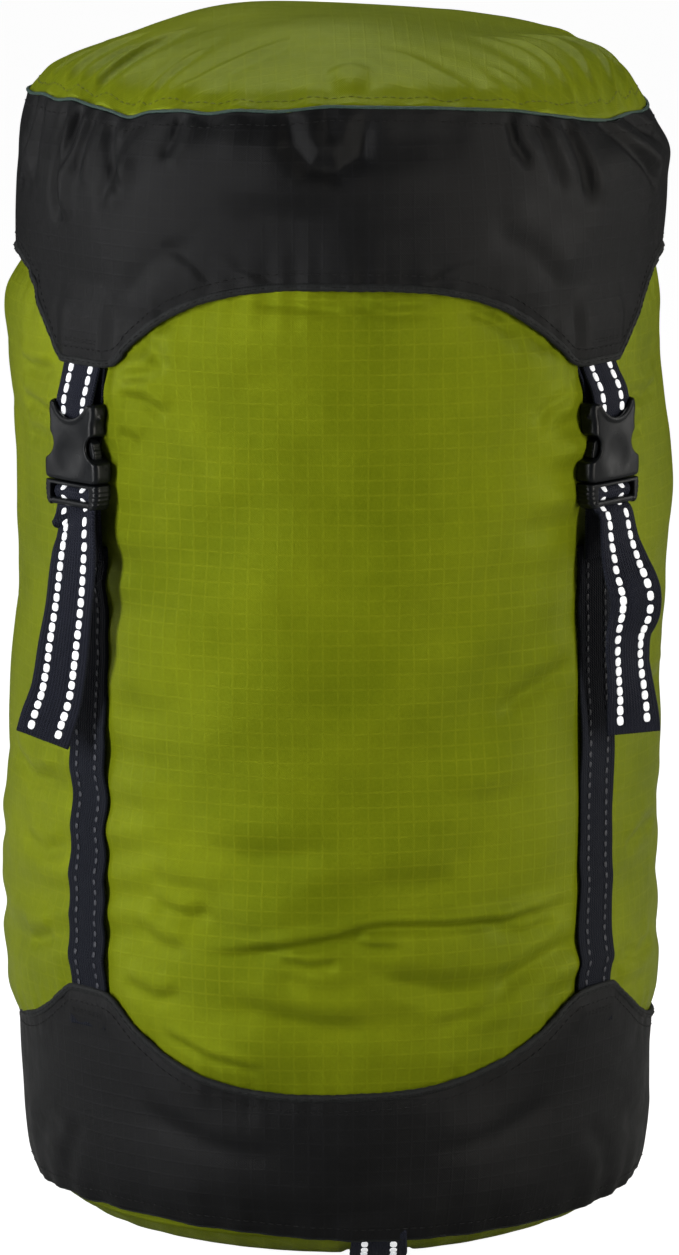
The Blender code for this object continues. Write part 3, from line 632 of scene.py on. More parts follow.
def tube_along(name, C, N, mats, rx, ry, sides=12, closed=True, modulate=None):
    """A roll or cord swept along C: rx across, ry along N."""
    C = np.asarray(C, float)
    if closed:
        T = unit(np.roll(C, -1, 0) - np.roll(C, 1, 0))
    else:
        T = unit(np.gradient(C, axis=0))
    B = unit(np.cross(T, N))
    N = unit(np.cross(B, T))
    a = np.linspace(0, 2 * math.pi, sides, endpoint=False)[::-1]
    k = np.ones(len(C)) if modulate is None else modulate
    P = C[:, None] + (B[:, None] * np.cos(a)[None, :, None] * rx + N[:, None] * np.sin(a)[None, :, None] * ry) * k[:, None, None]
    seg = np.linalg.norm(np.roll(C, -1, 0) - C, axis=1) if closed else np.append(np.linalg.norm(np.diff(C, axis=0), axis=1), 0)
    run = np.concatenate([[0], np.cumsum(seg)])
    U = np.tile(np.linspace(0, 2 * math.pi * max(rx, ry), sides + 1), (len(C) + (1 if closed else 0), 1))
    V = np.tile(run[: len(U), None], (1, sides + 1))
    rows = len(C)
    if closed:
        P = np.concatenate([P, P[:1]])
        quads = grid_quads(rows + 1, sides, True)
        quads = np.where(quads >= rows * sides, quads - rows * sides, quads)
        return collect(name, P[:-1].reshape(-1, 3), quads, grid_uvs(U, V, True), mats)
    i = np.arange(sides)
    caps = [(i[::-1], np.zeros((sides, 2))), ((rows - 1) * sides + i, np.zeros((sides, 2)))]
    return collect(name, P.reshape(-1, 3), grid_quads(rows, sides, True), grid_uvs(U, V, True), mats, caps)


def stitches(name, C, N, mats, pitch=0.0030, length=0.0021, radius=0.00021, closed=True, lift=0.0):
    """Separate thread stitches along C, each a short bead that dips in at its ends."""
    C = np.asarray(C, float)
    N = np.asarray(N, float)
    if closed:
        C = np.concatenate([C, C[:1]])
        N = np.concatenate([N, N[:1]])
    run = np.concatenate([[0], np.cumsum(np.linalg.norm(np.diff(C, axis=0), axis=1))])
    count = max(1, int(run[-1] / pitch))
    verts, quads, polys = [], [], []
    sides, rings = 6, 5
    for q in range(count):
        s0 = (q + 0.5) * run[-1] / count
        base = len(verts)
        for r in range(rings):
            f = r / (rings - 1) * 2 - 1
            s = s0 + f * length / 2
            c = np.array([np.interp(s, run, C[:, k]) for k in range(3)])
            c2 = np.array([np.interp(s + 1e-4, run, C[:, k]) for k in range(3)])
            c1 = np.array([np.interp(s - 1e-4, run, C[:, k]) for k in range(3)])
            n = unit(np.array([np.interp(s, run, N[:, k]) for k in range(3)]))
            t = unit(c2 - c1)
            b = np.cross(t, n)
            c = c + n * (lift + radius * (0.55 - 1.0 * f * f))
            rr = radius * (1 - 0.45 * f * f)
            for i in range(sides):
                a = -2 * math.pi * i / sides
                verts.append(c + b * rr * math.cos(a) + n * rr * math.sin(a))
        for r in range(rings - 1):
            for i in range(sides):
                i1 = (i + 1) % sides
                quads.append([base + r * sides + i, base + r * sides + i1, base + (r + 1) * sides + i1, base + (r + 1) * sides + i])
        polys.append(np.arange(base, base + sides)[::-1])
        polys.append(np.arange(base + (rings - 1) * sides, base + rings * sides))
    return collect(name, np.array(verts), quads, np.zeros((len(quads) * 4, 2)), mats,
                   [(p, np.zeros((sides, 2))) for p in polys])


# ------------------------------------------------------------------ moulded pieces
def nets(f, lo, hi, h):
    """A smooth closed surface where f, in mm, changes sign."""
    ax = [np.arange(lo[k], hi[k] + h, h) for k in range(3)]
    X, Y, Z = np.meshgrid(*ax, indexing="ij")
    F = f(X, Y, Z)
    S = F < 0
    shape = tuple(n - 1 for n in F.shape)
    acc = np.zeros(shape + (3,))
    cnt = np.zeros(shape)
    idx = np.meshgrid(*[np.arange(n) for n in shape], indexing="ij")
    crosses = []
    for axis in range(3):
        a = [slice(None)] * 3
        b = [slice(None)] * 3
        a[axis], b[axis] = slice(0, -1), slice(1, None)
        F0, F1 = F[tuple(a)], F[tuple(b)]
        cross = S[tuple(a)] != S[tuple(b)]
        t = np.where(cross, F0 / np.where(F0 == F1, 1, F0 - F1), 0)
        crosses.append(cross)
        o = [k for k in range(3) if k != axis]
        for d1 in (0, 1):
            for d2 in (0, 1):
                sl = [slice(None)] * 3
                sl[o[0]] = slice(d1, F.shape[o[0]] - 1 + d1)
                sl[o[1]] = slice(d2, F.shape[o[1]] - 1 + d2)
                cr, tt = cross[tuple(sl)], t[tuple(sl)]
                acc[..., axis] += cr * (idx[axis] + tt)
                acc[..., o[0]] += cr * (idx[o[0]] + d1)
                acc[..., o[1]] += cr * (idx[o[1]] + d2)
                cnt += cr
    used = cnt > 0
    ids = np.full(shape, -1)
    ids[used] = np.arange(used.sum())
    verts = acc[used] / cnt[used][:, None] * h + np.array(lo)
    quads = []
    for axis in range(3):
        o = [k for k in range(3) if k != axis]
        cross = crosses[axis].copy()
        sl = [slice(None)] * 3
        keep = np.zeros_like(cross)
        sl[o[0]], sl[o[1]] = slice(1, -1), slice(1, -1)
        keep[tuple(sl)] = True
        at = np.argwhere(cross & keep)
        def cell(d0, d1):
            c = at.copy()
            c[:, o[0]] -= d0
            c[:, o[1]] -= d1
            return ids[c[:, 0], c[:, 1], c[:, 2]]
        q = np.stack([cell(1, 1), cell(0, 1), cell(0, 0), cell(1, 0)], -1)
        inside = S[at[:, 0], at[:, 1], at[:, 2]]
        if axis == 1:
            inside = ~inside
        quads.append(np.where(inside[:, None], q, q[:, ::-1]))
    return verts, np.concatenate(quads)


def smax(a, b, k):
    h = np.clip(0.5 + 0.5 * (a - b) / k, 0, 1)
    return b + (a - b) * h + k * h * (1 - h)


def smin(a, b, k):
    return -smax(-a, -b, k)


def rbox(x, y, z, lo, hi, r):
    c = [(l + h) / 2 for l, h in zip(lo, hi)]
    e = [(h - l) / 2 - r for l, h in zip(lo, hi)]
    q = [np.abs(v - m) - s for v, m, s in zip((x, y, z), c, e)]
    out = np.sqrt(sum(np.maximum(v, 0) ** 2 for v in q))
    return out + np.minimum(np.maximum(np.maximum(q[0], q[1]), q[2]), 0) - r


def capsule(x, y, z, a, b, r):
    a, b = np.array(a, float), np.array(b, float)
    d = b - a
    t = np.clip(((x - a[0]) * d[0] + (y - a[1]) * d[1] + (z - a[2]) * d[2]) / (d @ d), 0, 1)
    return np.sqrt((x - a[0] - t * d[0]) ** 2 + (y - a[1] - t * d[1]) ** 2 + (z - a[2] - t * d[2]) ** 2) - r


def socket_shape(t, n, z):
    """Female buckle half: across t, outwards n, up z, in mm from its lower edge."""
    w = soft_table([(-3, 14.0), (0, 14.2), (2, 14.9), (7.5, 14.7), (13, 13.2), (17.5, 12.3), (21.5, 12.2), (25, 13.1), (29, 12.5), (32, 12)], z, 1.0)
    front = soft_table([(-3, 9.2), (8, 9.4), (18, 8.9), (29, 8.6)], z, 2.0) - 1.0 * (t / 15) ** 2
    body = smax(np.abs(t) - w, smax(n - front, 0.4 - n, 1.0), 2.2)
    body = smax(body, np.abs(z - 14.45) - 14.45, 1.6)
    cavity = rbox(t, n, z, (-10.7, 1.9, -8), (10.7, 7.4, 19.3), 0.6)
    body = smax(body, -cavity, 0.35)
    # the sides are scooped so that fingers reach the arms
    scoop = (np.sqrt(((np.abs(t) - 16.4) / 7.4) ** 2 + ((z - 13.0) / 5.6) ** 2) - 1) * 5.6
    body = smax(body, -scoop, 0.7)
    # the mouth for the webbing: a curved rim in front, open behind and above
    ring = np.sqrt(t ** 2 + (z - 33.0) ** 2)
    body = smax(body, -np.maximum(ring - 10.4, 6.6 - n), 0.5)
    body = smax(body, -rbox(t, n, z, (-10.7, -4, 20.3), (10.7, 7.0, 45), 0.8), 0.4)
    lip = np.sqrt((np.maximum(np.abs(ring - 11.0) - 0.15, 0)) ** 2 + (n - front + 0.35) ** 2) - 0.75
    lip = np.maximum(lip, np.maximum(z - 28.2, np.abs(t) - 11.6))
    body = smin(body, lip, 0.5)
    bar = capsule(t, n, z, (-11.8, 4.6, 24.0), (11.8, 4.6, 24.0), 1.45)
    body = smin(body, bar, 0.4)
    # the face is gently dished
    dish = np.sqrt((t / 8.5) ** 2 + ((z - 10.0) / 7.5) ** 2 + ((n - 9.6) / 1.1) ** 2) - 1
    return smax(body, -dish * 1.1, 0.6)


def clip_shape(t, n, z):
    """Male buckle half: base with ladder bars and the centre tongue, in mm from its lower edge."""
    w = soft_table([(-3, 12.0), (0, 12.8), (1.5, 14.0), (5, 14.9), (9.3, 14.8), (12, 14.6)], z, 0.6)
    front = 9.2 - 1.0 * (t / 15) ** 2
    body = smax(np.abs(t) - w, smax(n - front, 0.6 - n, 1.0), 2.2)
    body = smax(body, np.abs(z - 4.65) - 4.65, 1.2)
    body = body - 0.10 * np.sin(z * 2 * math.pi / 1.7) * step01((np.abs(t) - 12.2) / 1.0)
    body = smax(body, -rbox(t, n, z, (-10.9, -6, -6), (10.9, 18, 7.9), 0.8), 0.4)
    low = capsule(t, n, z, (-12.0, 7.1, 1.6), (12.0, 7.1, 1.6), 1.25)
    middle = capsule(t, n, z, (-12.0, 4.8, 5.2), (12.0, 4.8, 5.2), 1.2)
    body = smin(smin(body, low, 0.4), middle, 0.4)
    tongue = rbox(t, n, z, (-2.9, 3.2, 7.5), (2.9, 6.3, 25.0), 1.0)
    rib = capsule(t, n, z, (0, 6.3, 10), (0, 6.3, 23), 0.5)
    return smin(body, smin(tongue, rib, 0.4), 0.8)


def arm_shape(t, n, z):
    """One springing arm, in mm from the clip's top edge; t is outwards."""
    pts = [(7.3, 1.3, 1.15), (7.9, 5.0, 1.2), (8.7, 8.6, 1.5), (9.7, 11.4, 1.9), (9.3, 14.0, 1.7), (8.3, 15.2, 1.2)]
    d = np.full(t.shape, 1e9)
    for (x0, z0, r0), (x1, z1, r1) in zip(pts, pts[1:]):
        dx, dz = x1 - x0, z1 - z0
        s = np.clip(((t - x0) * dx + (z - z0) * dz) / (dx * dx + dz * dz), 0, 1)
        d = smin(d, np.hypot(t - x0 - s * dx, z - z0 - s * dz) - (r0 + s * (r1 - r0)), 0.4)
    catch = np.maximum(np.maximum(t - 12.1 + 0.35 * np.abs(z - 10.2), 9.0 - t), np.maximum(9.0 - z, z - 12.6))
    d = smin(d, catch, 0.5)
    d = d - 0.10 * np.sin(z * 2 * math.pi / 1.3) * step01((t - 10.0) / 1.0)
    return smax(d, np.abs(n - 4.7) - 1.95, 0.8)


def moulded(name, verts, quads, azimuth, origin_z, mats, sign=1.0):
    """Puts a buckle piece, in mm of (across, outwards, up), on its strap."""
    v = verts / 1000.0
    a = math.radians(azimuth)
    out = np.array([math.sin(a), -math.cos(a), 0.0])
    side = np.array([math.cos(a), math.sin(a), 0.0])
    P = v[:, 0:1] * sign * side + (FACE + v[:, 1:2]) * out + np.array([0, 0, 1.0]) * (origin_z + v[:, 2:3])
    # across, outwards, up is left-handed, so the faces turn round unless mirrored
    q = quads if sign < 0 else quads[:, ::-1]
    return collect(name, P, q, np.tile(v[:, [0, 2]][q.reshape(-1)], 1), mats)


# ------------------------------------------------------------------ materials
class Nodes:
    """Short names for wiring a material."""

    def __init__(self, name):
        self.mat = bpy.data.materials.new(name)
        self.mat.use_nodes = True
        self.tree = self.mat.node_tree
        self.tree.nodes.clear()
        self.out = self.tree.nodes.new("ShaderNodeOutputMaterial")
        self.bsdf = self.tree.nodes.new("ShaderNodeBsdfPrincipled")
        self.link(self.bsdf.outputs[0], self.out.inputs[0])

    def link(self, a, b):
        self.tree.links.new(a, b)

    def put(self, socket, value):
        if isinstance(value, bpy.types.NodeSocket):
            self.link(value, socket)
        else:
            socket.default_value = value

    def math(self, op, a, b=None, c=None, clamp=False):
        n = self.tree.nodes.new("ShaderNodeMath")
        n.operation = op
        n.use_clamp = clamp
        for k, v in enumerate((a, b, c)):
            if v is not None:
                self.put(n.inputs[k], v)
        return n.outputs[0]

    def coords(self, kind="Object"):
        return self.tree.nodes.new("ShaderNodeTexCoord").outputs[kind]

    def split(self, vec):
        n = self.tree.nodes.new("ShaderNodeSeparateXYZ")
        self.link(vec, n.inputs[0])
        return n.outputs

    def join(self, x, y, z=0.0):
        n = self.tree.nodes.new("ShaderNodeCombineXYZ")
        for k, v in enumerate((x, y, z)):
            self.put(n.inputs[k], v)
        return n.outputs[0]

    def noise(self, vec, scale, detail=3.0, rough=0.55, color=False):
        n = self.tree.nodes.new("ShaderNodeTexNoise")
        self.link(vec, n.inputs["Vector"])
        n.inputs["Scale"].default_value = scale
        n.inputs["Detail"].default_value = detail
        n.inputs["Roughness"].default_value = rough
        return n.outputs["Color" if color else "Fac"]

    def vmath(self, op, a, b=None, scale=None):
        n = self.tree.nodes.new("ShaderNodeVectorMath")
        n.operation = op
        self.put(n.inputs[0], a)
        if b is not None:
            self.put(n.inputs[1], b)
        if scale is not None:
            n.inputs["Scale"].default_value = scale
        return n.outputs[0]

    def span(self, value, lo, hi, out_lo, out_hi):
        n = self.tree.nodes.new("ShaderNodeMapRange")
        self.put(n.inputs[0], value)
        for k, v in zip((1, 2, 3, 4), (lo, hi, out_lo, out_hi)):
            n.inputs[k].default_value = v
        return n.outputs[0]

    def mix(self, fac, a, b, how="MIX"):
        n = self.tree.nodes.new("ShaderNodeMix")
        n.data_type = "RGBA"
        n.blend_type = how
        self.put(n.inputs[0], fac)
        for s, v in ((n.inputs[6], a), (n.inputs[7], b)):
            if isinstance(v, bpy.types.NodeSocket):
                self.link(v, s)
            else:
                s.default_value = (*v, 1.0)
        return n.outputs[2]

    def bump(self, height, strength, distance, normal=None):
        n = self.tree.nodes.new("ShaderNodeBump")
        n.inputs["Strength"].default_value = strength
        n.inputs["Distance"].default_value = distance
        self.put(n.inputs["Height"], height)
        if normal is not None:
            self.link(normal, n.inputs["Normal"])
        return n.outputs[0]

    def lines(self, coord, pitch, half):
        """1 on a line every pitch, falling to 0 at half its width either side."""
        f = self.math("FRACT", self.math("DIVIDE", coord, pitch))
        d = self.math("MULTIPLY", self.math("ABSOLUTE", self.math("SUBTRACT", f, 0.5)), pitch)
        return self.span(d, 0.0, half, 1.0, 0.0)


def ripstop(name, dark, light, line, line_gain, rough, sheen, sheen_tint, pitch=0.0054, weave=0.35, big=0.5, spec=0.5, gloss=(1.0, 1.0, 1.0), metal=0.0):
    """Coated ripstop cloth: a square grid of thicker threads over a fine plain weave."""
    m = Nodes(name)
    uv = m.coords("UV")
    obj = m.coords("Object")
    drift = m.vmath("SCALE", m.vmath("SUBTRACT", m.noise(obj, 26.0, 2.0, color=True), (0.5, 0.5, 0.5)), scale=0.0011)
    u, v, _ = m.split(m.vmath("ADD", uv, drift))
    grid = m.math("MAXIMUM", m.lines(u, pitch, 0.00062), m.lines(v, pitch, 0.00062))
    fine = m.noise(obj, 900.0, 2.0)
    blotch = m.noise(obj, 17.0, 4.0, 0.6)
    cloud = m.span(blotch, 0.3, 0.7, 0.0, 1.0)
    color = m.mix(cloud, dark, light)
    patchy = m.span(m.noise(obj, 60.0, 3.0), 0.3, 0.7, 0.35, 1.0)
    color = m.mix(m.math("MULTIPLY", m.math("MULTIPLY", grid, patchy), line_gain), color, line)
    color = m.mix(m.span(fine, 0.35, 0.75, 0.0, 0.16), color, tuple(c * 0.6 for c in dark))
    # rubbed, slightly paler patches
    rub = m.span(m.noise(obj, 95.0, 6.0, 0.7), 0.62, 0.80, 0.0, 0.22)
    color = m.mix(rub, color, tuple(min(1.0, c * 1.35) for c in light))
    m.put(m.bsdf.inputs["Base Color"], color)
    m.put(m.bsdf.inputs["Roughness"], m.span(m.noise(obj, 140.0, 3.0), 0.2, 0.8, rough - 0.06, rough + 0.07))
    m.bsdf.inputs["Sheen Weight"].default_value = sheen
    m.bsdf.inputs["Sheen Roughness"].default_value = 0.45
    m.bsdf.inputs["Sheen Tint"].default_value = (*sheen_tint, 1.0)
    m.bsdf.inputs["Specular IOR Level"].default_value = spec
    m.bsdf.inputs["Specular Tint"].default_value = (*gloss, 1.0)
    m.bsdf.inputs["Metallic"].default_value = metal
    wu = m.math("SINE", m.math("MULTIPLY", u, 2 * math.pi / 0.00062))
    wv = m.math("SINE", m.math("MULTIPLY", v, 2 * math.pi / 0.00062))
    woven = m.math("MULTIPLY", m.math("MULTIPLY", wu, wv), weave)
    soft = m.math("MULTIPLY", m.noise(obj, 55.0, 5.0, 0.62), big * 6.0)
    h = m.math("ADD", m.math("ADD", m.math("MULTIPLY", grid, 0.40), woven), soft)
    m.put(m.bsdf.inputs["Normal"], m.bump(h, 0.55, 0.00022))
    return m.mat


def woven_tape(name, dark, light, rough=0.62, rib=0.00115, spec=0.22):
    """Narrow webbing: ribs along it, picks across it, a thicker selvedge."""
    m = Nodes(name)
    obj = m.coords("Object")
    u, v, _ = m.split(m.coords("UV"))
    ru = m.math("SINE", m.math("MULTIPLY", u, 2 * math.pi / rib))
    rv = m.math("SINE", m.math("MULTIPLY", v, 2 * math.pi / 0.00095))
    picks = m.math("MULTIPLY", ru, rv)
    edge = m.span(m.math("ABSOLUTE", u), 0.0086, 0.0098, 0.0, 1.0)
    cloud = m.span(m.noise(obj, 150.0, 4.0), 0.3, 0.7, 0.0, 1.0)
    color = m.mix(cloud, dark, light)
    color = m.mix(m.span(picks, -1.0, 1.0, 0.0, 0.75), color, tuple(c * 2.6 for c in light))
    color = m.mix(m.math("MULTIPLY", edge, 0.35), color, tuple(c * 1.7 for c in light))
    m.put(m.bsdf.inputs["Base Color"], color)
    m.put(m.bsdf.inputs["Roughness"], m.span(m.noise(obj, 500.0, 2.0), 0.2, 0.8, rough - 0.08, rough + 0.08))
    m.bsdf.inputs["Specular IOR Level"].default_value = spec
    m.bsdf.inputs["Sheen Weight"].default_value = 0.02
    m.bsdf.inputs["Sheen Roughness"].default_value = 0.5
    m.bsdf.inputs["Sheen Tint"].default_value = (0.75, 0.8, 1.0, 1.0)
    h = m.math("ADD", m.math("MULTIPLY", picks, 0.7), m.math("MULTIPLY", ru, 0.5))
    h = m.math("ADD", h, m.noise(obj, 1500.0, 2.0))
    m.put(m.bsdf.inputs["Normal"], m.bump(h, 0.9, 0.00024))
    return m.mat


def moulding(name, dark, light, rough=0.36):
    """Moulded nylon: a fine sparked skin, rubbed paler along its edges."""
    m = Nodes(name)
    obj = m.coords("Object")
    geo = m.tree.nodes.new("ShaderNodeNewGeometry")
    worn = m.span(geo.outputs["Pointiness"], 0.53, 0.62, 0.0, 0.35)
    cloud = m.span(m.noise(obj, 90.0, 5.0), 0.3, 0.7, 0.0, 1.0)
    color = m.mix(cloud, dark, light)
    color = m.mix(m.math("MULTIPLY", worn, m.span(m.noise(obj, 420.0, 4.0), 0.35, 0.65, 0.2, 1.0)), color, tuple(c * 2.2 for c in light))
    m.put(m.bsdf.inputs["Base Color"], color)
    m.put(m.bsdf.inputs["Roughness"], m.span(m.noise(obj, 260.0, 4.0), 0.25, 0.75, rough - 0.07, rough + 0.10))
    m.bsdf.inputs["Specular IOR Level"].default_value = 0.17
    h = m.math("ADD", m.noise(obj, 2600.0, 2.0), m.math("MULTIPLY", m.noise(obj, 320.0, 2.0), 0.8))
    m.put(m.bsdf.inputs["Normal"], m.bump(h, 0.25, 0.00010))
    return m.mat


def thread(name, dark, light, rough=0.55, sheen=0.3, pitch=0.0006, twist=1.0, strength=0.6, spec=0.5, painted_glow=0.0):
    """Twisted or braided yarn, by position, so that it needs no map."""
    m = Nodes(name)
    obj = m.coords("Object")
    x, y, z = m.split(obj)
    k = 2 * math.pi / pitch
    a = m.math("SINE", m.math("MULTIPLY", m.math("ADD", m.math("ADD", x, y), m.math("MULTIPLY", z, twist)), k))
    b = m.math("SINE", m.math("MULTIPLY", m.math("SUBTRACT", m.math("SUBTRACT", x, y), m.math("MULTIPLY", z, twist)), k))
    ply = m.math("MULTIPLY", a, b)
    color = m.mix(m.span(ply, -1.0, 1.0, 0.0, 1.0), dark, light)
    color = m.mix(m.span(m.noise(obj, 700.0, 3.0), 0.3, 0.7, 0.0, 0.4), color, tuple(c * 0.6 for c in dark))
    m.put(m.bsdf.inputs["Base Color"], color)
    m.put(m.bsdf.inputs["Roughness"], m.span(m.noise(obj, 900.0, 2.0), 0.2, 0.8, rough - 0.08, rough + 0.08))
    m.bsdf.inputs["Sheen Weight"].default_value = sheen
    m.bsdf.inputs["Specular IOR Level"].default_value = spec
    if painted_glow:
        # painted glow: emission stands in for the light that glass-bead yarn sends back the way it came
        m.bsdf.inputs["Emission Color"].default_value = (0.95, 0.97, 1.0, 1.0)
        m.bsdf.inputs["Emission Strength"].default_value = painted_glow
    m.put(m.bsdf.inputs["Normal"], m.bump(ply, strength, 0.00012))
    return m.mat


def metal(name, color, rough):
    m = Nodes(name)
    obj = m.coords("Object")
    m.bsdf.inputs["Metallic"].default_value = 1.0
    c = m.mix(m.span(m.noise(obj, 800.0, 3.0), 0.3, 0.7, 0.0, 1.0), color, tuple(v * 0.75 for v in color))
    m.put(m.bsdf.inputs["Base Color"], c)
    m.put(m.bsdf.inputs["Roughness"], m.span(m.noise(obj, 1200.0, 2.0), 0.2, 0.8, rough - 0.06, rough + 0.1))
    m.put(m.bsdf.inputs["Normal"], m.bump(m.noise(obj, 1600.0, 2.0), 0.2, 0.00005))
    return m.mat


GREEN = ripstop("green_ripstop", (0.124, 0.157, 0.0044), (0.190, 0.229, 0.0066), (0.235, 0.270, 0.0100), 0.40, 0.39, 0.04, (0.62, 0.78, 0.04), spec=0.20, gloss=(0.62, 0.80, 0.05), metal=0.12)
BLACK = ripstop("black_ripstop", (0.0050, 0.0052, 0.0055), (0.0082, 0.0084, 0.0090), (0.016, 0.016, 0.018), 0.26, 0.41, 0.01, (0.9, 0.95, 1.0), big=0.55, spec=0.115)
TAPE = woven_tape("webbing_navy", (0.0038, 0.0045, 0.0085), (0.0060, 0.0070, 0.0130), spec=0.14)
TAPE_BACK = woven_tape("webbing_back", (0.0032, 0.0038, 0.0064), (0.0052, 0.0062, 0.0098), rib=0.0013, spec=0.10)
BINDING = thread("binding_tape", (0.0070, 0.0078, 0.0080), (0.0140, 0.0160, 0.0165), 0.6, 0.03, pitch=0.0011, strength=0.5, spec=0.2)
# the lid seam cord is coloured light teal: painted highlight along the seam's edge
SEAM_PIPING_PAINTED_HIGHLIGHT = thread("seam_piping_painted_highlight", (0.026, 0.050, 0.040), (0.055, 0.100, 0.082), 0.5, 0.02, pitch=0.0012, strength=0.4, spec=0.25)
BASE_PIPING = thread("base_piping", (0.0060, 0.0075, 0.0070), (0.0120, 0.0150, 0.0140), 0.5, 0.02, pitch=0.0012, strength=0.4, spec=0.2)
THREAD = thread("black_thread", (0.006, 0.006, 0.0065), (0.016, 0.016, 0.017), 0.5, 0.02, spec=0.15)
THREAD_GREEN = thread("green_thread", (0.085, 0.105, 0.004), (0.150, 0.180, 0.007), 0.5, 0.03, spec=0.25)
# the reflective dashes also glow: painted light standing in for what their glass beads send back
DASH = thread("reflective_yarn_painted_glow", (0.74, 0.75, 0.77), (0.92, 0.92, 0.94), 0.34, 0.02, pitch=0.00055, strength=0.3, painted_glow=0.45)
DASH_BACK = thread("reflective_yarn_back", (0.018, 0.020, 0.030), (0.045, 0.048, 0.062), 0.5, 0.02, pitch=0.00055, strength=0.3)
PLASTIC = moulding("moulded_nylon", (0.0042, 0.0049, 0.0060), (0.0066, 0.0075, 0.0090), rough=0.32)
CORD = thread("braided_cord", (0.012, 0.012, 0.013), (0.060, 0.060, 0.064), 0.6, 0.3, pitch=0.0011, strength=0.9)
STEEL = metal("spring_steel", (0.55, 0.56, 0.58), 0.28)


# ------------------------------------------------------------------ the stuffed side wall
SLEEVE_LO, SLEEVE_HI = 0.0124, 0.4020


def settle_cloth():
    """Lets the side wall settle as slack cloth over its stuffing, and keeps how far it moved."""
    nu, nz = 168, 92
    th = np.linspace(-180, 180, nu, endpoint=False)
    z = np.linspace(SLEEVE_LO, SLEEVE_HI, nz)
    TH, Z = np.meshgrid(th, z)
    R = sack_radius(TH, Z, fine=False) - 0.0010
    for pts, depth, width, lip in CREASES:
        R = R + 0.6 * crease(TH, Z, pts, depth, width * 1.3, lip)
    R = R + 0.00025 * waves(TH, Z, 77, 14, (9, 30), (40, 190))
    P = place(TH, R, Z)
    ob = collect("settling", P.reshape(-1, 3), grid_quads(nz, nu, True))
    held = np.maximum(step01((Z - edge_up(TH) + .006) / .008), step01((edge_low(TH) + .006 - Z) / .008))
    held = np.maximum(held, 0.85 * step01((6.0 - strap_off(TH)) / 2.0))
    group = ob.vertex_groups.new(name="held")
    for k, w in enumerate(held.ravel()):
        if w > 0.01:
            group.add([k], float(w), "REPLACE")
    # the cloth was cut a little larger than the space that it fills
    ob.shape_key_add(name="Basis")
    cut_to = ob.shape_key_add(name="cut")
    Q = P.copy()
    grow = 1 + 0.016 * (1 - held)
    Q[..., 0] *= grow
    Q[..., 1] *= grow
    mid = (SLEEVE_LO + SLEEVE_HI) / 2
    Q[..., 2] = mid + (Q[..., 2] - mid) * 1.030
    cut_to.data.foreach_set("co", Q.astype(np.float32).ravel())
    cut_to.value = 0.0
    mod = ob.modifiers.new("Cloth", "CLOTH")
    s = mod.settings
    s.quality = 5
    s.mass = 0.12
    s.air_damping = 3.0
    s.tension_stiffness = s.compression_stiffness = 18
    s.shear_stiffness = 8
    s.bending_stiffness = 0.12
    s.tension_damping = s.compression_damping = s.shear_damping = 8
    s.use_pressure = True
    s.uniform_pressure_force = 3.0
    s.vertex_group_mass = "held"
    s.rest_shape_key = cut_to
    s.effector_weights.gravity = 0.0
    mod.collision_settings.use_self_collision = False
    mod.collision_settings.use_collision = False
    mod.point_cache.frame_start, mod.point_cache.frame_end = 1, 26
    for f in range(1, 25):
        SCENE.frame_set(f)
    got = ob.evaluated_get(bpy.context.evaluated_depsgraph_get())
    co = np.empty(len(got.data.vertices) * 3, np.float32)
    got.data.vertices.foreach_get("co", co)
    co = co.reshape(nz, nu, 3).astype(float)
    SCENE.frame_set(1)
    bpy.data.objects.remove(ob, do_unlink=True)
    move = np.hypot(co[..., 0], co[..., 1]) - np.hypot(P[..., 0], P[..., 1])
    free = (1 - held) * 1.0
    move = move - (move * free).sum() / free.sum()
    # take out the slow part, which the sack's own outline already has
    k = np.exp(-0.5 * (np.arange(-14, 15) / 7.0) ** 2)
    k /= k.sum()
    wide = np.pad(move, ((14, 14), (14, 14)), mode="wrap")
    wide[:14], wide[-14:] = wide[14], wide[-15]
    slow = np.apply_along_axis(lambda a: np.convolve(a, k, "valid"), 1, wide)
    slow = np.apply_along_axis(lambda a: np.convolve(a, k, "valid"), 0, slow)
    move = (move - slow) * free
    size = np.sqrt((move ** 2 * free).sum() / free.sum())
    print("cloth settled: fine movement", round(float(size) * 1000, 3), "mm rms, largest", round(float(np.abs(move).max()) * 1000, 2), "mm")
    move = move * min(1.0, 0.00042 / max(size, 1e-9))
    SIM["field"] = 0.0018 * np.tanh(move / 0.0018)
    SIM["th"], SIM["z"] = th, z


settle_cloth()


def finish_piece(ob, body, slot, *nodes):
    if nodes:
        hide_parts(*nodes)
    if body:
        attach(ob, body)
    return ob


def follow_sleeve(ob, slot, *nodes):
    """Soft pieces between the caps: hides the parts they replace and bakes their placement into their mesh."""
    finish_piece(ob, None, slot, *nodes)
    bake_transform(ob)
    return ob


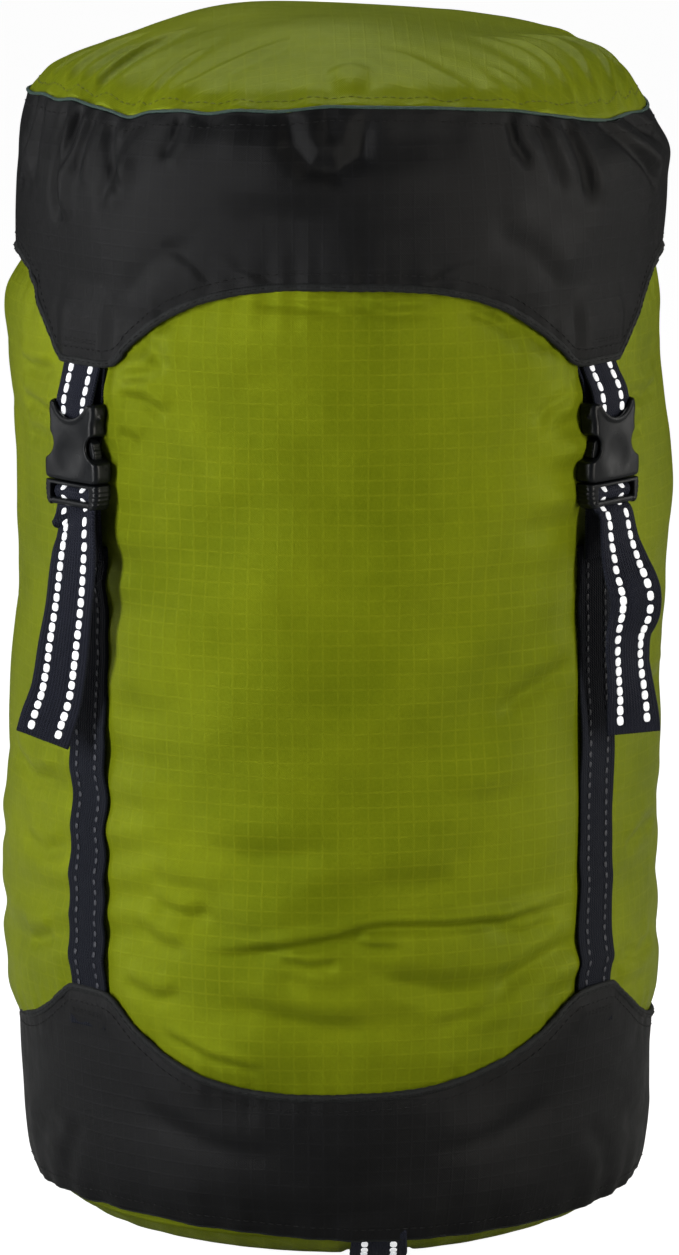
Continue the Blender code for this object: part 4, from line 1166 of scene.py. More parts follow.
def sleeve():
    nu, nz = 640, 290
    th = np.linspace(-180, 180, nu, endpoint=False)
    z = np.linspace(SLEEVE_LO, SLEEVE_HI, nz)
    TH, Z = np.meshgrid(th, z)
    R = sack_radius(TH, Z)
    # a felled seam up the back
    back = 180 - np.abs(TH)
    R = R + 0.0006 * np.exp(-(back / 2.6) ** 6) - 0.0004 * np.exp(-((back - 3.4) / 0.7) ** 2)
    # under the caps the cloth stays inside them
    under_up = step01((Z - edge_up(TH) - .001) / .004)
    under_low = step01((edge_low(TH) - .001 - Z) / .004)
    R = R + under_up * (np.minimum(R, upper_cap(TH, Z) - .0040) - R)
    R = R + under_low * (np.minimum(R, lower_cap(TH, Z) - .0034) - R)
    P = place(TH, R, Z)
    U, V = np.meshgrid(np.radians(np.append(th, 180.0)) * 0.121, z)
    ob = shell("sack_sleeve", P, U, V, 0.0011, [GREEN])
    follow_sleeve(ob, "green_fabric", "sack_tube")
    for k, off in enumerate((2.15, 2.95)):
        zz = np.linspace(0.074, 0.359, 420)
        for sgn in (-1, 1):
            aa = np.full_like(zz, 180 - off) * sgn
            rr = sack_radius(aa, zz) + (0.0006 if k == 0 else 0.0002)
            C = place(aa, rr, zz)
            st = stitches(f"back_seam_stitch_{k}{'a' if sgn < 0 else 'b'}", C, place(aa, np.ones_like(zz), zz * 0), [THREAD_GREEN], closed=False)
            follow_sleeve(st, "green_fabric")
    return ob


SLEEVE = sleeve()


# ------------------------------------------------------------------ the caps
def cap(name, low, high, radius, rows, curl_low=0.0):
    nu = 1080
    th = np.linspace(-180, 180, nu, endpoint=False)
    s = np.linspace(0, 1, rows)
    TH = np.tile(th, (rows, 1))
    lo, hi = low(th), high(th)
    Z = lo[None] + (hi - lo)[None] * s[:, None]
    R = radius(TH, Z)
    P = place(TH, R, Z)
    U = np.tile(np.radians(np.append(th, 180.0)) * 0.121, (rows, 1))
    V = np.concatenate([Z, Z[:, :1]], 1)
    return shell(name, P, U, V, 0.0012, [BLACK])


def cap_line(radius, zfun, lift=0.0, n=1800):
    th = np.linspace(-180, 180, n, endpoint=False)
    z = zfun(th)
    return th, place(th, radius(th, z) + lift, z), place(th, np.ones(n), 0 * z)


UPPER = cap("upper_cap", edge_up, seam_z, upper_cap, 96)
finish_piece(UPPER, "lid", "black_fabric", "upper_cap_skirt")
BASE_EDGE = [(-180, 0), (-120, .4), (-84, .6), (-74, 1.6), (-68, 2.6), (-60, 3.6), (-55, 2.6), (-50, 4.0), (-42, 3.2), (-36, 3.6), (-30, 2.2), (-20, 1.9),
             (-8, .4), (4, -1.0), (20, -.8), (40, -.2), (60, .6), (80, .6), (120, .3)]


def base_edge(th):
    """Where the lower cap is sewn to the base cloth."""
    return 0.0140 + soft_table(BASE_EDGE, wrap(th), 1.2, 360.0) / 1000.0


LOWER = cap("lower_cap", base_edge, edge_low, lower_cap, 84)
finish_piece(LOWER, "root", "black_fabric", "lower_cap_skirt")


def resample_ring(C, N, step):
    run = np.concatenate([[0], np.cumsum(np.linalg.norm(np.diff(np.concatenate([C, C[:1]]), axis=0), axis=1))])
    n = int(run[-1] / step)
    s = np.linspace(0, run[-1], n, endpoint=False)
    C2, N2 = np.concatenate([C, C[:1]]), np.concatenate([N, N[:1]])
    return (np.stack([np.interp(s, run, C2[:, k]) for k in range(3)], -1),
            unit(np.stack([np.interp(s, run, N2[:, k]) for k in range(3)], -1)), s)


def hem(name, radius, zfun, body, sign, node):
    _, C, N = cap_line(radius, lambda t: zfun(t) + sign * 0.0011, -0.0003)
    C, N, s = resample_ring(C, N, 0.0011)
    ripple = 1 + 0.06 * np.sin(s * 2 * math.pi / 0.0042) + 0.05 * np.sin(s * 2 * math.pi / 0.0171 + 1)
    ob = tube_along(name, C, N, [BINDING], 0.0015, 0.00105, 12, True, ripple)
    finish_piece(ob, body, "binding_tape", node)
    _, C, N = cap_line(radius, lambda t: zfun(t) + sign * 0.0012, 0.00072)
    C, N, _ = resample_ring(C, N, 0.0015)
    finish_piece(stitches(name + "_stitch", C, N, [THREAD], pitch=0.0029), body, "binding_tape")
    _, C, N = cap_line(radius, lambda t: zfun(t) + sign * 0.0058, 0.0)
    C, N, _ = resample_ring(C, N, 0.0015)
    finish_piece(stitches(name + "_topstitch", C, N, [THREAD], pitch=0.0031), body, "black_fabric")


hem("upper_cap_binding", upper_cap, edge_up, "lid", 1, "upper_edge_binding")
hem("lower_cap_binding", lower_cap, edge_low, "root", -1, "lower_edge_binding")


def bar_tacks(name, radius, azimuth, z0, body, rows=(0.0034, 0.0044, 0.0092, 0.0102), half=0.0088):
    for k, up in enumerate(rows):
        a = azimuth + np.degrees(np.linspace(-half, half, 24) / 0.122)
        z = np.full(24, z0 + up)
        C = place(a, radius(a, z), z)
        ob = stitches(f"{name}_{k}", C, place(a, np.ones(24), 0 * z), [THREAD], pitch=0.0020, length=0.0017, radius=0.00015, closed=False)
        finish_piece(ob, body, "black_fabric")


for place_name, azim in STRAPS.items():
    bar_tacks(f"upper_tack_{place_name}", upper_cap, azim, 0.3310, "lid", rows=(0.0078, 0.0088))
    bar_tacks(f"lower_tack_{place_name}", lower_cap, azim, 0.1003, "root", rows=(-0.0088, -0.0098))


# ------------------------------------------------------------------ the lid
DOME = [(0.0, .4526), (.035, .4513), (.055, .4490), (.070, .4461), (.085, .4419), (.096, .4374), (.104, .4326), (.109, .4282), (.1125, .4236), (.1143, .4195), (.118, .412)]
_RR2 = np.linspace(0, 0.13, 800)
_DZ = soft_table([(-a, b) for a, b in DOME[:0:-1]] + DOME, _RR2, 0.003)


# (x, y) in mm from the seam inwards, height in metres, width in metres
DRAGS = [
    ([(101.7, -52.6), (98, -30), (88, -12), (72, -2)], .0016, .0019),
    ([(95.8, -62.1), (88, -44), (76, -30), (60, -20)], .0013, .0017),
    ([(85.2, -73.7), (77, -58), (66, -46), (52, -38)], .0012, .0018),
    ([(108.7, -36.0), (104, -18), (96, -2), (84, 10)], .0014, .0019),
    ([(47.5, -101.3), (37, -96), (24, -87), (10, -79)], .0009, .0036),
    ([(68, -90), (60, -82), (50, -76)], .0007, .0022),
    ([(-76.1, -84.6), (-68.2, -81), (-57.6, -69.2), (-48, -58)], .0013, .0015),
    ([(-62.5, -93.0), (-50, -87), (-32, -75), (-14, -62)], .0010, .0026),
    ([(-92.5, -63.7), (-84, -56), (-69.3, -42), (-51, -24)], .0015, .0019),
    ([(-102.3, -46.4), (-92, -36), (-80, -24), (-66, -12)], .0013, .0018),
    ([(-97.5, -56.0), (-89, -50), (-79, -42), (-66, -34)], .0011, .0015),
    ([(-108, -28), (-98, -16), (-84, -6)], .0010, .0020),
    ([(100, 52), (90, 40), (76, 30)], .0013, .0019), ([(92, 66), (80, 52), (64, 42)], .0014, .0018), ([(80, 80), (68, 66), (54, 54)], .0012, .0018),
    ([(-100, 52), (-90, 42), (-74, 34)], .0013, .0019), ([(-92, 66), (-78, 54), (-62, 42)], .0014, .0018), ([(-80, 80), (-66, 68), (-50, 56)], .0012, .0018),
    ([(20, 112), (14, 96), (4, 84)], .0008, .0030), ([(-30, 109), (-26, 94), (-16, 84)], .0008, .0028),
]


def to_line(x, y, points):
    pts = np.array(points, float) / 1000.0
    seg = np.linalg.norm(np.diff(pts, axis=0), axis=1)
    run = np.concatenate([[0], np.cumsum(seg)]) / seg.sum()
    best = np.full(np.broadcast(x, y).shape, 1e9)
    along = np.zeros_like(best)
    for i in range(len(pts) - 1):
        d = pts[i + 1] - pts[i]
        t = np.clip(((x - pts[i, 0]) * d[0] + (y - pts[i, 1]) * d[1]) / (d @ d), 0, 1)
        dist = np.hypot(x - pts[i, 0] - t * d[0], y - pts[i, 1] - t * d[1])
        near = dist < best
        best = np.where(near, dist, best)
        along = np.where(near, run[i] + t * (run[i + 1] - run[i]), along)
    return best, along


def dome_z(th, r):
    t = np.radians(th)
    x, y = r * np.sin(t), -r * np.cos(t)
    edge = seam_r(th)
    z = np.interp(r, _RR2, _DZ)
    w = np.clip(r / edge, 0, 1)
    z = z + (seam_z(th) - np.interp(edge, _RR2, _DZ)) * w ** 11
    rng = np.random.RandomState(8)
    lumps = np.zeros(np.broadcast(th, r).shape)
    for _ in range(9):
        a, k = rng.uniform(0, 2 * math.pi), rng.uniform(45, 105)
        lumps = lumps + np.sin((x * math.cos(a) + y * math.sin(a)) * k + rng.uniform(0, 6.28)) / 3
    z = z + 0.0015 * lumps * (1 - w ** 10) * step01(w * 2.2) - 0.0004 * (1 - w ** 2) ** 2
    # gathers run in from the seam, longest by the straps
    near = np.exp(-(strap_off(th) / 13) ** 2)
    reach = 0.010 + 0.016 * near
    gat = np.sin(t * 46 + 2.2 * np.sin(t * 3 + .4)) + 0.7 * np.sin(t * 29 + 1.2 * np.sin(t * 6))
    z = z + (0.00040 + 0.00050 * near) * gat * np.exp(-((edge - r) / reach) ** 1.4)
    # the cloth dips just inside the seam
    z = z - 0.0006 * np.exp(-((edge - r - .0035) / .0022) ** 2)
    # the cord lock under the cloth
    d = np.hypot(x - 0.002, y + 0.1010)
    z = z + 0.0011 * np.exp(-(d / .0062) ** 4) - 0.0004 * np.exp(-((d - .0095) / .0025) ** 2)
    # long thin drag folds run up from the straps
    for pts, high, wide in DRAGS:
        d, along = to_line(x, y, pts)
        env = step01(np.minimum(along / .10, (1 - along) / .45)) * step01((edge - r) / .004)
        z = z + 1.1 * high * env * (np.exp(-(d / wide) ** 2) - 0.40 * np.exp(-((d - 2.2 * wide) / (1.3 * wide)) ** 2))
    # shallow drag lines between the straps
    for a0, ph in ((-AZ, .3), (AZ, 1.1), (180 - AZ, 2.0), (-(180 - AZ), 2.6)):
        off = np.radians(wrap(th - a0)) * r
        z = z + 0.0007 * np.sin(off * 2 * math.pi / .021 + ph) * np.exp(-(off / .022) ** 2) * step01((r - .055) / .04) * (1 - w ** 12)
    return z


def lid_panel():
    nu, rows = 720, 190
    th = np.linspace(-180, 180, nu, endpoint=False)
    s = np.linspace(0, 1, rows) ** 0.85
    TH = np.tile(th, (rows, 1))
    R = seam_r(th)[None] * (1 - s[:, None]) + 0.0004 * s[:, None]
    Z = dome_z(TH, R)
    P = place(TH, R, Z)
    X, Y = P[..., 0], P[..., 1]
    U = np.concatenate([X, X[:, :1]], 1)
    V = np.concatenate([Y, Y[:, :1]], 1)
    ob = shell("lid_panel", P, U, V, 0.0012, [GREEN])
    finish_piece(ob, "lid", "green_fabric", "lid_top_panel")
    n = 1800
    t = np.linspace(-180, 180, n, endpoint=False)
    C = place(t, seam_r(t) + 0.0004, seam_z(t) + 0.0002)
    N = unit(place(t, np.full(n, 0.8), np.full(n, 0.6)))
    C, N, run = resample_ring(C, N, 0.0011)
    ripple = 1 + 0.07 * np.sin(run * 2 * math.pi / 0.0051) + 0.06 * np.sin(run * 2 * math.pi / 0.0193)
    # a thin light teal cord along the seam: painted highlight on the seam's edge
    finish_piece(tube_along("lid_seam_painted_highlight_piping", C, N, [SEAM_PIPING_PAINTED_HIGHLIGHT], 0.00062, 0.00055, 10, True, ripple), "lid", "black_fabric")
    for k, inset in enumerate((0.0034,)):
        r = seam_r(t) - inset
        C = place(t, r, dome_z(t, r))
        N = np.tile([[0.0, 0.0, 1.0]], (n, 1))
        C, N, _ = resample_ring(C, N, 0.0015)
        finish_piece(stitches(f"lid_topstitch_{k}", C, N, [THREAD_GREEN], pitch=0.0030), "lid", "green_fabric")
    zt = lambda a: seam_z(a) - 0.0045
    _, C, N = cap_line(upper_cap, zt, 0.0)
    C, N, _ = resample_ring(C, N, 0.0015)
    finish_piece(stitches("upper_cap_seam_stitch", C, N, [THREAD], pitch=0.0031), "lid", "black_fabric")
    return ob


LID = lid_panel()


# ------------------------------------------------------------------ the base
HANDLE_X = 0.0125


def base_panel():
    nu = 540
    th = np.linspace(-180, 180, nu, endpoint=False)
    prof = spline([(0.0004, 0.0004, 0), (.040, .0003, 0), (.070, .0004, 0), (.085, .0018, 0), (.096, .0052, 0), (.1025, .0098, 0), (.1062, .0138, 0), (.1078, .0168, 0)], 0.0022)
    top = spline([(.1068, .0176, 0), (.103, .0150, 0), (.095, .0124, 0), (.06, .0110, 0), (.0004, .0108, 0)], 0.006)
    both = np.concatenate([prof, top])[:, :2]
    rows = len(both)
    TH = np.tile(th, (rows, 1))
    R = np.tile(both[:, :1], (1, nu))
    Z = np.tile(both[:, 1:2], (1, nu))
    t = np.radians(TH)
    low = (np.arange(rows) < len(prof))[:, None]
    gather = (np.sin(t * 44 + 2.2 * np.sin(t * 4 + .4)) + 0.7 * np.sin(t * 31 + 1.2 * np.sin(t * 5)))
    Z = Z + low * 0.00050 * gather * np.exp(-((.107 - R) / .010) ** 2)
    R = R + low * 0.0010 * np.sin(t * 5 + 1) * step01((R - .08) / .02)
    rim = step01((R - .094) / .012)
    up = base_edge(TH) - .0140
    Z = Z + up * rim
    R = R + (0.0014 + 0.55 * up) * rim
    X = R * np.sin(t)
    # the carry strap lies in a shallow channel
    Z = Z + low * 0.0019 * step01((.0135 - np.abs(X - HANDLE_X)) / .003) * step01((.104 - R) / .02)
    P = place(TH, R, Z)
    U = np.concatenate([P[..., 0], P[:, :1, 0]], 1)
    V = np.concatenate([P[..., 1], P[:, :1, 1]], 1)
    quads = grid_quads(rows, nu, True, flip=True)
    uvs = grid_uvs(U, V, True, True)
    i = np.arange(nu)
    caps = [(i, np.zeros((nu, 2))), ((rows - 1) * nu + i[::-1], np.zeros((nu, 2)))]
    ob = collect("base_cloth", P.reshape(-1, 3), quads, uvs, [GREEN], caps)
    finish_piece(ob, "root", "green_fabric", "base_panel")
    n = 1500
    t2 = np.linspace(-180, 180, n, endpoint=False)
    C = place(t2, lower_cap(t2, base_edge(t2)) - .0006, base_edge(t2) + .0002)
    N = place(t2, np.ones(n), np.zeros(n))
    C, N, run = resample_ring(C, N, 0.0012)
    finish_piece(tube_along("base_seam_piping", C, N, [BASE_PIPING], 0.0008, 0.0007, 10, True, 1 + 0.07 * np.sin(run * 1230)), "root", "black_fabric")
    _, C, N = cap_line(lower_cap, lambda a: base_edge(a) + 0.0045, 0.0)
    C, N, _ = resample_ring(C, N, 0.0015)
    finish_piece(stitches("lower_cap_seam_stitch", C, N, [THREAD], pitch=0.0031), "root", "black_fabric")
    return ob


BASE_CLOTH = base_panel()


def carry_strap():
    half = [(.1108, .0172), (.1104, .0148), (.1080, .0112), (.1042, .0076), (.0982, .0046), (.0915, .0024), (.0840, .0010), (.0600, .00080), (.0300, .00080)]
    pts = [(HANDLE_X, -y, z) for y, z in half] + [(HANDLE_X, 0, .0008)] + [(HANDLE_X, y, z) for y, z in half[::-1]]
    C = spline(pts, 0.0016)
    T = unit(np.gradient(C, axis=0))
    N = np.cross(T, np.array([[1.0, 0, 0]]))
    N = np.where((N[:, 2:3] > 0), -N, N)
    ob = webbing("carry_strap", C, N, [TAPE], seed=40)
    finish_piece(ob, "root", "webbing", "base_grab_handle")
    run = np.linalg.norm(np.diff(C, axis=0), axis=1).sum()
    finish_piece(dashes("carry_strap_dashes", C, N, [DASH], 0.001, run - 0.001, seed=40), "root", "webbing")


carry_strap()


# ------------------------------------------------------------------ straps
def basis(azimuth):
    a = math.radians(azimuth)
    return (np.array([math.cos(a), math.sin(a), 0.0]), np.array([math.sin(a), -math.cos(a), 0.0]), np.array([0, 0, 1.0]))


def local(azimuth, pts, origin_z):
    """(across, outwards, up) in mm from a buckle half's lower edge, to metres."""
    side, out, up = basis(azimuth)
    p = np.asarray(pts, float) / 1000.0
    return p[:, 0:1] * side + (FACE + p[:, 1:2]) * out + (origin_z + p[:, 2:3]) * up


def turning_normals(C, azimuth):
    side, out, up = basis(azimuth)
    T = unit(np.gradient(C, axis=0))
    n, z = T @ out, T @ up
    return unit(-z[:, None] * out + n[:, None] * up)


def span(name, azimuth):
    zz = np.linspace(0.0860, 0.2650, 240)
    a = azimuth + 1.6 * np.sin((zz - .09) / .18 * math.pi) * (1 if azimuth > 0 else -1) * (0.6 if abs(azimuth) < 90 else -0.4)
    rr = np.max([sack_radius(a + d, zz) - 0.121 * (1 - math.cos(math.radians(d))) for d in (-4.4, -3, -1.5, 0, 1.5, 3, 4.4)], axis=0)
    k = np.hanning(23)
    k /= k.sum()
    pad = np.pad(rr, 11, mode="edge")
    rr = np.maximum(np.convolve(pad, k, "valid"), rr - 0.0001) + WEB_T / 2 + 0.00015
    C = place(a, rr, zz)
    N = -place(a, np.ones_like(zz), 0 * zz)
    ob = webbing("span_" + name, C, N, [TAPE_BACK], seed=int(azimuth) % 7)
    follow_sleeve(ob, "webbing", "strap_span_" + name)
    d = dashes("span_dashes_" + name, C, N, [DASH_BACK], 0.002, 0.178, side=-1.0, size=(0.0011, 0.0008), seed=int(azimuth) % 5)
    follow_sleeve(d, "webbing")


LOOP = [(0, 2.1, -19), (0, 2.0, -12), (0, 2.1, -5), (0, 2.3, -1), (0, 2.35, 1.6), (0, 2.5, 4.2), (0, 3.0, 6.1), (0, 4.0, 7.15), (0, 5.0, 7.15),
        (0, 6.1, 6.5), (0, 6.75, 5.2), (0, 6.3, 3.7), (0, 5.35, 2.5), (0, 5.0, 1.2), (0, 5.3, -0.4)]

# world points (x, y, z in mm, azimuth that the face turns to)
TAILS = {
    "front_left": [(-96.2, -84.6, 276.2, -50), (-96.4, -87.2, 271.3, -47), (-97.2, -89.4, 263.2, -41), (-98.9, -90.2, 246, -33), (-100.9, -88.6, 231, -27),
                   (-103.8, -85.0, 211.9, -20), (-107.2, -82.6, 200.5, -15), (-109.3, -81.6, 193.6, -14)],
    "front_right": [(98.6, -82.0, 276.0, 50), (100.2, -84.2, 266.5, 45), (102.6, -86.6, 257.0, 33), (105.6, -88.6, 248.0, 20), (105.7, -88.2, 241.0, 20), (103.4, -85.6, 231.0, 34),
                    (103.6, -83.2, 220.0, 38), (104.8, -82.0, 209.0, 30), (105.5, -82.2, 200.0, 20), (105.8, -82.6, 195.2, 17)],
}
BACK_TAILS = {
    "back_left": [(0.3, 7.4, -2.6, 0), (0.8, 9.4, -9, -4), (1.8, 10.4, -24, -12), (2.0, 9.8, -42, -18), (0.6, 9.0, -60, -10), (-1.4, 8.8, -76, 4), (-2.2, 9.3, -86, 10)],
    "back_right": [(-0.2, 7.4, -2.6, 0), (-0.6, 9.4, -9, 5), (-1.6, 10.6, -24, 14), (-0.4, 9.6, -42, 8), (1.0, 8.9, -60, -8), (1.8, 9.0, -76, -14), (1.4, 9.6, -86, -10)],
}


def tail(name, azimuth):
    side, out, up = basis(azimuth)
    first = local(azimuth, LOOP, CLIP_Z)
    if name in TAILS:
        rest = np.array([(x, y, z) for x, y, z, _ in TAILS[name]]) / 1000.0
        face = [a for *_, a in TAILS[name]]
    else:
        rest = local(azimuth, [p[:3] for p in BACK_TAILS[name]], CLIP_Z)
        face = [azimuth + p[3] for p in BACK_TAILS[name]]
    C = spline(np.concatenate([first, rest]), 0.0007)
    N = turning_normals(C, azimuth)
    run = np.concatenate([[0], np.cumsum(np.linalg.norm(np.diff(C, axis=0), axis=1))])
    at = [run[np.argmin(np.linalg.norm(C - p, axis=1))] for p in rest]
    ang = np.radians(np.interp(run, at, face))
    turned = np.stack([np.sin(ang), -np.cos(ang), 0 * ang], -1)
    w = step01((run - at[0] + .004) / .010)[:, None]
    N = unit(N * (1 - w) + turned * w)
    ob = webbing("tail_" + name, C, N, [TAPE], seed=int(azimuth) % 9 + 1)
    finish_piece(ob, "clip_" + name, "webbing", "strap_tail_" + name)
    start = run[np.argmin(np.linalg.norm(C - first[8], axis=1))]
    d = dashes("tail_dashes_" + name, C, N, [DASH], start - 0.001, run[-1] - 0.0012, seed=int(azimuth) % 6)
    finish_piece(d, "clip_" + name, "webbing")
    return ob


HANG = [(0, 1.95, 62), (0, 1.95, 50), (0, 2.0, 43.5), (0, 2.7, 38.5), (0, 4.4, 33.5), (0, 5.75, 29), (0, 6.0, 25.5), (0, 5.7, 23.2), (0, 4.9, 22.0), (0, 3.9, 21.7),
        (0, 2.9, 22.1), (0, 2.15, 23.6), (0, 1.9, 26), (0, 1.5, 30), (0, 0.75, 36), (0, 0.55, 42), (0, 0.5, 50), (0, 0.5, 62)]


def lid_strap(name, azimuth):
    pts = np.array(HANG, float)
    shift = 0.6 if azimuth < 0 else -0.5
    pts[10:, 0] += np.linspace(0, 1.2, len(pts) - 10) * (1 if shift > 0 else -1)
    # under the cap's leg the strap lies on the sack
    zz = SOCKET_Z + pts[:, 2] / 1000.0
    ground = (sack_radius(np.full(len(zz), azimuth), np.minimum(zz, .345)) - FACE) * 1000
    lay = step01((pts[:, 2] - 34) / 8)
    pts[:, 1] = pts[:, 1] + lay * (ground + 0.2)
    C = spline(local(azimuth, pts, SOCKET_Z), 0.0007)
    N = turning_normals(C, azimuth)
    ob = webbing("lid_strap_web_" + name, C, N, [TAPE], seed=int(azimuth) % 9 + 3)
    finish_piece(ob, "lid", "webbing", "lid_strap_" + name)
    run = np.concatenate([[0], np.cumsum(np.linalg.norm(np.diff(C, axis=0), axis=1))])
    stop = run[np.argmin(np.linalg.norm(C - local(azimuth, HANG[8:9], SOCKET_Z)[0], axis=1))]
    d = dashes("lid_strap_dashes_" + name, C, N, [DASH], 0.012, stop, seed=int(azimuth) % 4)
    finish_piece(d, "lid", "webbing")


H = 0.30
SOCKET_MESH = nets(socket_shape, (-16.5, -1.0, -1.2), (16.5, 10.8, 31.0), H)
CLIP_MESH = nets(clip_shape, (-16.5, -1.0, -1.2), (16.5, 10.8, 26.6), H)
ARM_MESH = nets(arm_shape, (5.0, 1.6, -1.5), (14.5, 7.8, 18.5), H)

for place_name, azim in STRAPS.items():
    span(place_name, azim)
    tail(place_name, azim)
    lid_strap(place_name, azim)
    finish_piece(moulded("buckle_female_" + place_name, *SOCKET_MESH, azim, SOCKET_Z, [PLASTIC]), "lid", "plastic", "buckle_socket_" + place_name)
    finish_piece(moulded("buckle_male_" + place_name, *CLIP_MESH, azim, CLIP_Z, [PLASTIC]), "clip_" + place_name, "plastic", "buckle_clip_" + place_name)
    for which, sgn in (("left", -1.0), ("right", 1.0)):
        ob = moulded(f"buckle_arm_{place_name}_{which}", *ARM_MESH, azim, CLIP_TOP, [PLASTIC], sgn)
        finish_piece(ob, f"arm_{place_name}_{which}", "plastic", f"clip_arm_{place_name}_{which}")


# ------------------------------------------------------------------ under the lid
COLLAR_Z, NECK_R, NECK_TOP, CORD_Z, CORD_R, LOCK_Y, LOCK_Z = 0.4045, 0.0345, 0.4200, 0.4175, 0.0010, -0.0900, 0.4082


def collar():
    nu = 900
    th = np.linspace(-180, 180, nu, endpoint=False)
    outer = spline([(.1120, .4022, 0), (.1118, .4045, 0), (.1070, .4062, 0), (.0950, .4066, 0), (.0750, .4066, 0), (.0550, .4068, 0), (.0420, .4078, 0), (.0368, .4105, 0), (.0345, .4150, 0), (.0340, .4205, 0)], 0.0011)
    r, z = outer[:, 0], outer[:, 1]
    TH = np.tile(th, (len(r), 1))
    t = np.radians(TH)
    R, Z = np.tile(r[:, None], (1, nu)), np.tile(z[:, None], (1, nu))
    pleat = np.sin(t * 34 + 1.4 * np.sin(t * 3)) + 0.45 * np.sin(t * 55 + 2 * np.sin(t * 4 + 1))
    inward = step01((.098 - R) / .06)
    rise = step01((Z - .4085) / .006)
    Z = Z + 0.00105 * pleat * inward * (1 - rise) + 0.0004 * np.sin(t * 7 + 60 * R) * step01((R - .045) / .02) * step01((.105 - R) / .02)
    R = R + 0.0010 * pleat * rise
    P = place(TH, R, Z)
    U = np.tile(np.radians(np.append(th, 180.0)) * 0.05, (len(r), 1))
    V = np.tile(np.concatenate([[0], np.cumsum(np.hypot(np.diff(r), np.diff(z)))])[:, None], (1, nu + 1))
    ob = shell("mouth_cloth", P, U, V, 0.0010, [GREEN])
    finish_piece(ob, "mouth", "green_fabric", "mouth_collar")
    ring = np.linspace(-176.5, 176.5, 700)
    C = place(ring + 180, np.full(700, .0359), np.full(700, CORD_Z))
    N = place(ring + 180, np.ones(700), np.zeros(700))
    k = 1 + 0.10 * np.sin(np.radians(ring) * 34 + 1.0) + 0.06 * np.sin(np.radians(ring) * 71)
    hem_ob = tube_along("mouth_hem", C, N, [GREEN], 0.0023, 0.0018, 14, False, k)
    finish_piece(hem_ob, "mouth", "green_fabric")
    return ob


COLLAR = collar()


def drawcord():
    ring = NECK_R + CORD_R + 0.0004
    pts = [(-0.0018, LOCK_Y - 0.0105), (-0.0018, LOCK_Y), (-0.0018, -0.0700), (-0.0018, -0.0500)]
    first = math.degrees(math.asin(0.0030 / ring))
    for a in np.linspace(-(first + 5), -(360 - first - 5), 60):
        t = math.radians(a)
        pts.append((ring * math.sin(t), -ring * math.cos(t)))
    pts += [(0.0018, -0.0500), (0.0018, -0.0700), (0.0018, LOCK_Y), (0.0018, LOCK_Y - 0.0105)]
    C = spline([(x, y, CORD_Z) for x, y in pts], 0.0007)
    N = np.tile([[0.0, 0.0, 1.0]], (len(C), 1))
    run = np.concatenate([[0], np.cumsum(np.linalg.norm(np.diff(C, axis=0), axis=1))])
    k = 1 + 0.05 * np.sin(run * 2 * math.pi / 0.0016)
    ob = tube_along("drawcord_braid", C, N, [CORD], CORD_R * 0.97, CORD_R * 0.97, 14, False, k)
    finish_piece(ob, "mouth", "cord", "drawcord")

    def knot_shape(x, y, z):
        a = capsule(x, y, z, (-1.3, 1.4, 0.2), (1.2, -0.6, 1.2), 1.15)
        b = capsule(x, y, z, (1.3, 1.4, 0.2), (-1.1, -0.9, -1.1), 1.15)
        c = capsule(x, y, z, (-1.6, 0.2, -0.8), (1.6, 0.0, -0.6), 1.1)
        d = capsule(x, y, z, (-0.7, -1.2, 0.9), (0.9, -1.0, -0.9), 1.1)
        return smin(smin(a, b, 0.25), smin(c, d, 0.25), 0.25)

    v, q = nets(knot_shape, (-3.4, -3.4, -3.4), (3.4, 3.4, 3.4), 0.22)
    P = v / 1000.0 + np.array([0, LOCK_Y - 0.0137, CORD_Z])
    kn = collect("drawcord_knot_braid", P, q, np.zeros((len(q) * 4, 2)), [CORD])
    finish_piece(kn, "mouth", "cord", "drawcord_knot")
    print("drawcord length", round(float(run[-1]), 4))
    return ob


drawcord()


def cord_lock():
    def barrel(x, y, z):
        r = np.hypot(x, y)
        out = smax(r - 6.4 + 0.12 * np.cos(np.arctan2(y, x) * 18) * step01((z - 2) / 2) * step01((10.5 - z) / 2), np.abs(z - 6.65) - 6.6, 1.0)
        out = smax(out, -smax(r - 4.75, 1.2 - z, 0.3), 0.3)
        hole = np.maximum(np.abs(x) - 3.2, np.abs(z - 9.3) - 1.6)
        return smax(out, -hole, 0.4)

    def plunger(x, y, z):
        r = np.hypot(x, y)
        out = smax(r - 4.45, np.abs(z - 11.2) - 5.2, 0.9)
        out = smax(out, -np.maximum(np.maximum(np.abs(x) - 3.2, np.abs(z - 9.3) - 1.6), r - 9), 0.3)
        ring = np.abs(np.hypot(r - 2.9, z - 16.45)) - 0.35
        return smax(out, -ring, 0.3)

    for name, shape, body, node, lo, hi in (
            ("lock_barrel", barrel, "cord_lock", "cord_lock_barrel", (-7.4, -7.4, -0.8), (7.4, 7.4, 14.2)),
            ("lock_button", plunger, "cord_lock_button", "cord_lock_plunger", (-5.4, -5.4, 5.0), (5.4, 5.4, 17.6))):
        v, q = nets(shape, lo, hi, 0.26)
        P = v / 1000.0 + np.array([0, LOCK_Y, LOCK_Z])
        finish_piece(collect(name, P, q, np.zeros((len(q) * 4, 2)), [PLASTIC]), body, "plastic", node)


cord_lock()

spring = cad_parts["cord_lock_spring"]
spring.data.materials.clear()
spring.data.materials.append(STEEL)


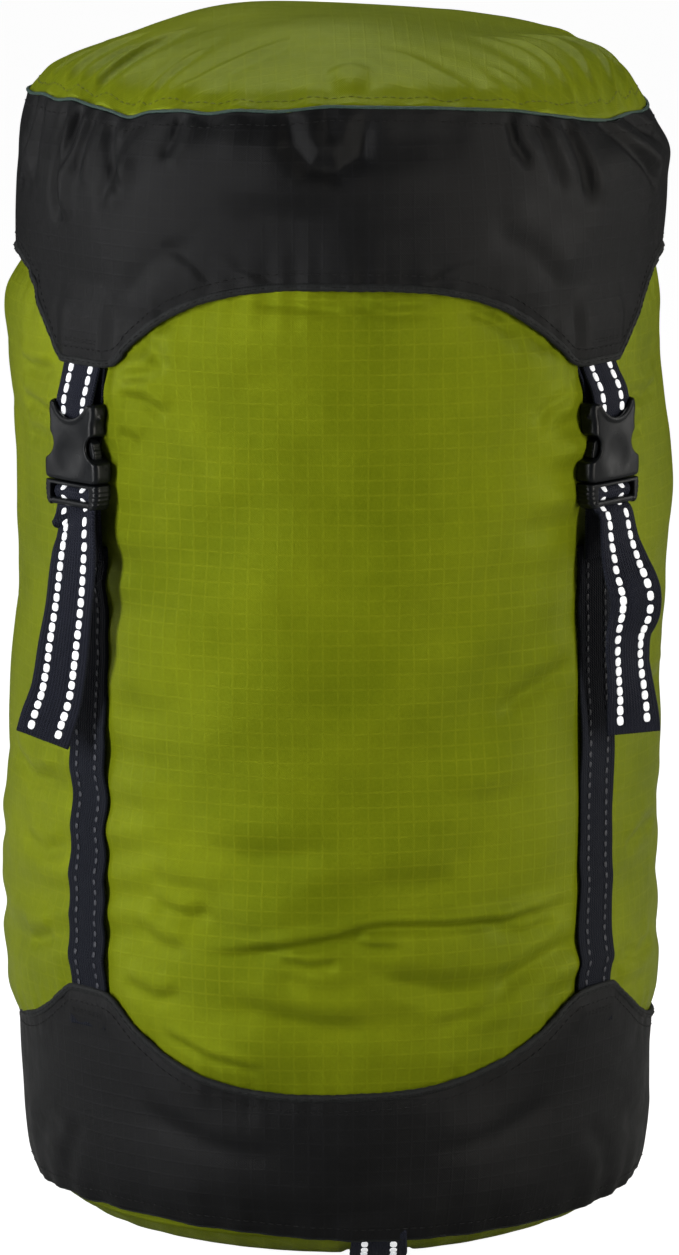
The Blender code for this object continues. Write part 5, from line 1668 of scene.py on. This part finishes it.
# ------------------------------------------------------------------ floor, light, camera
mesh = bpy.data.meshes.new("floor")
mesh.from_pydata([(-6, -6, 0), (6, -6, 0), (6, 14, 0), (-6, 14, 0)], [], [(0, 1, 2, 3)])
floor = bpy.data.objects.new("floor", mesh)
SCENE.collection.objects.link(floor)
fm = Nodes("pale_floor")
obj = fm.coords("Object")
fm.put(fm.bsdf.inputs["Base Color"], fm.mix(fm.span(fm.noise(obj, 3.0, 4.0), 0.3, 0.7, 0.0, 1.0), (0.34, 0.34, 0.34), (0.38, 0.38, 0.38)))
fm.put(fm.bsdf.inputs["Roughness"], fm.span(fm.noise(obj, 9.0, 2.0), 0.2, 0.8, 0.75, 0.9))
fm.bsdf.inputs["Emission Color"].default_value = (1, 1, 1, 1)
ray = fm.tree.nodes.new("ShaderNodeLightPath").outputs["Is Camera Ray"]
fm.put(fm.bsdf.inputs["Emission Strength"], fm.math("MULTIPLY", ray, 0.97))
floor.data.materials.append(fm.mat)

world = bpy.data.worlds.new("studio")
SCENE.world = world
world.use_nodes = True
wt = world.node_tree
wt.nodes.clear()
wo = wt.nodes.new("ShaderNodeOutputWorld")
amb, seen, sel, path = (wt.nodes.new(n) for n in ("ShaderNodeBackground", "ShaderNodeBackground", "ShaderNodeMixShader", "ShaderNodeLightPath"))
amb.inputs[0].default_value, amb.inputs[1].default_value = (1.0, 1.0, 1.0, 1.0), 0.022
seen.inputs[0].default_value, seen.inputs[1].default_value = (1.0, 1.0, 1.0, 1.0), 1.0
wt.links.new(path.outputs["Is Camera Ray"], sel.inputs[0])
wt.links.new(amb.outputs[0], sel.inputs[1])
wt.links.new(seen.outputs[0], sel.inputs[2])
wt.links.new(sel.outputs[0], wo.inputs[0])


def area(name, azimuth, elevation, distance, size, power, color, target=(0, 0, 0.24)):
    data = bpy.data.lights.new(name, "AREA")
    data.shape = "RECTANGLE"
    data.size, data.size_y = size
    data.energy = power
    data.color = color
    ob = bpy.data.objects.new(name, data)
    a, e = math.radians(azimuth), math.radians(elevation)
    at = Vector((math.sin(a) * math.cos(e), -math.cos(a) * math.cos(e), math.sin(e))) * distance + Vector(target)
    ob.location = at
    ob.rotation_euler = (Vector(target) - at).to_track_quat("-Z", "Y").to_euler()
    SCENE.collection.objects.link(ob)


area("key", -57, 9, 1.3, (0.13, 0.90), 15.0, (1.0, 1.0, 1.0))
area("fill", 53, 8, 1.4, (0.14, 0.90), 12.5, (1.0, 0.96, 0.88))
area("side_left", -104, 12, 1.5, (0.5, 1.0), 4.6, (1.0, 1.0, 1.0))
area("side_right", 104, 12, 1.5, (0.5, 1.0), 5.0, (1.0, 0.98, 0.94))
area("top", 180, 66, 1.3, (0.5, 0.25), 9.0, (1.0, 1.0, 0.98), (0, 0, 0.44))

cam_data = bpy.data.cameras.new("camera")
cam_data.sensor_fit = "VERTICAL"
cam_data.sensor_height = 36.0
cam_data.lens = 6666.7 * 36.0 / 1255
cam_data.shift_x, cam_data.shift_y = 1.5 / 1255, -5.2 / 1255
cam_data.clip_end = 60
cam = bpy.data.objects.new("camera", cam_data)
aim = Vector((0, 0, 0.222))
ca, ce = math.radians(-1.3), math.radians(10.0)
cam.location = aim + 2.5 * Vector((math.sin(ca) * math.cos(ce), -math.cos(ca) * math.cos(ce), math.sin(ce)))
cam.rotation_euler = (aim - cam.location).to_track_quat("-Z", "Y").to_euler()
SCENE.collection.objects.link(cam)
SCENE.camera = cam
SCENE.view_settings.view_transform = "Standard"
SCENE.view_settings.look = "None"
SCENE.view_settings.exposure = 0.0
SCENE.view_settings.gamma = 1.0
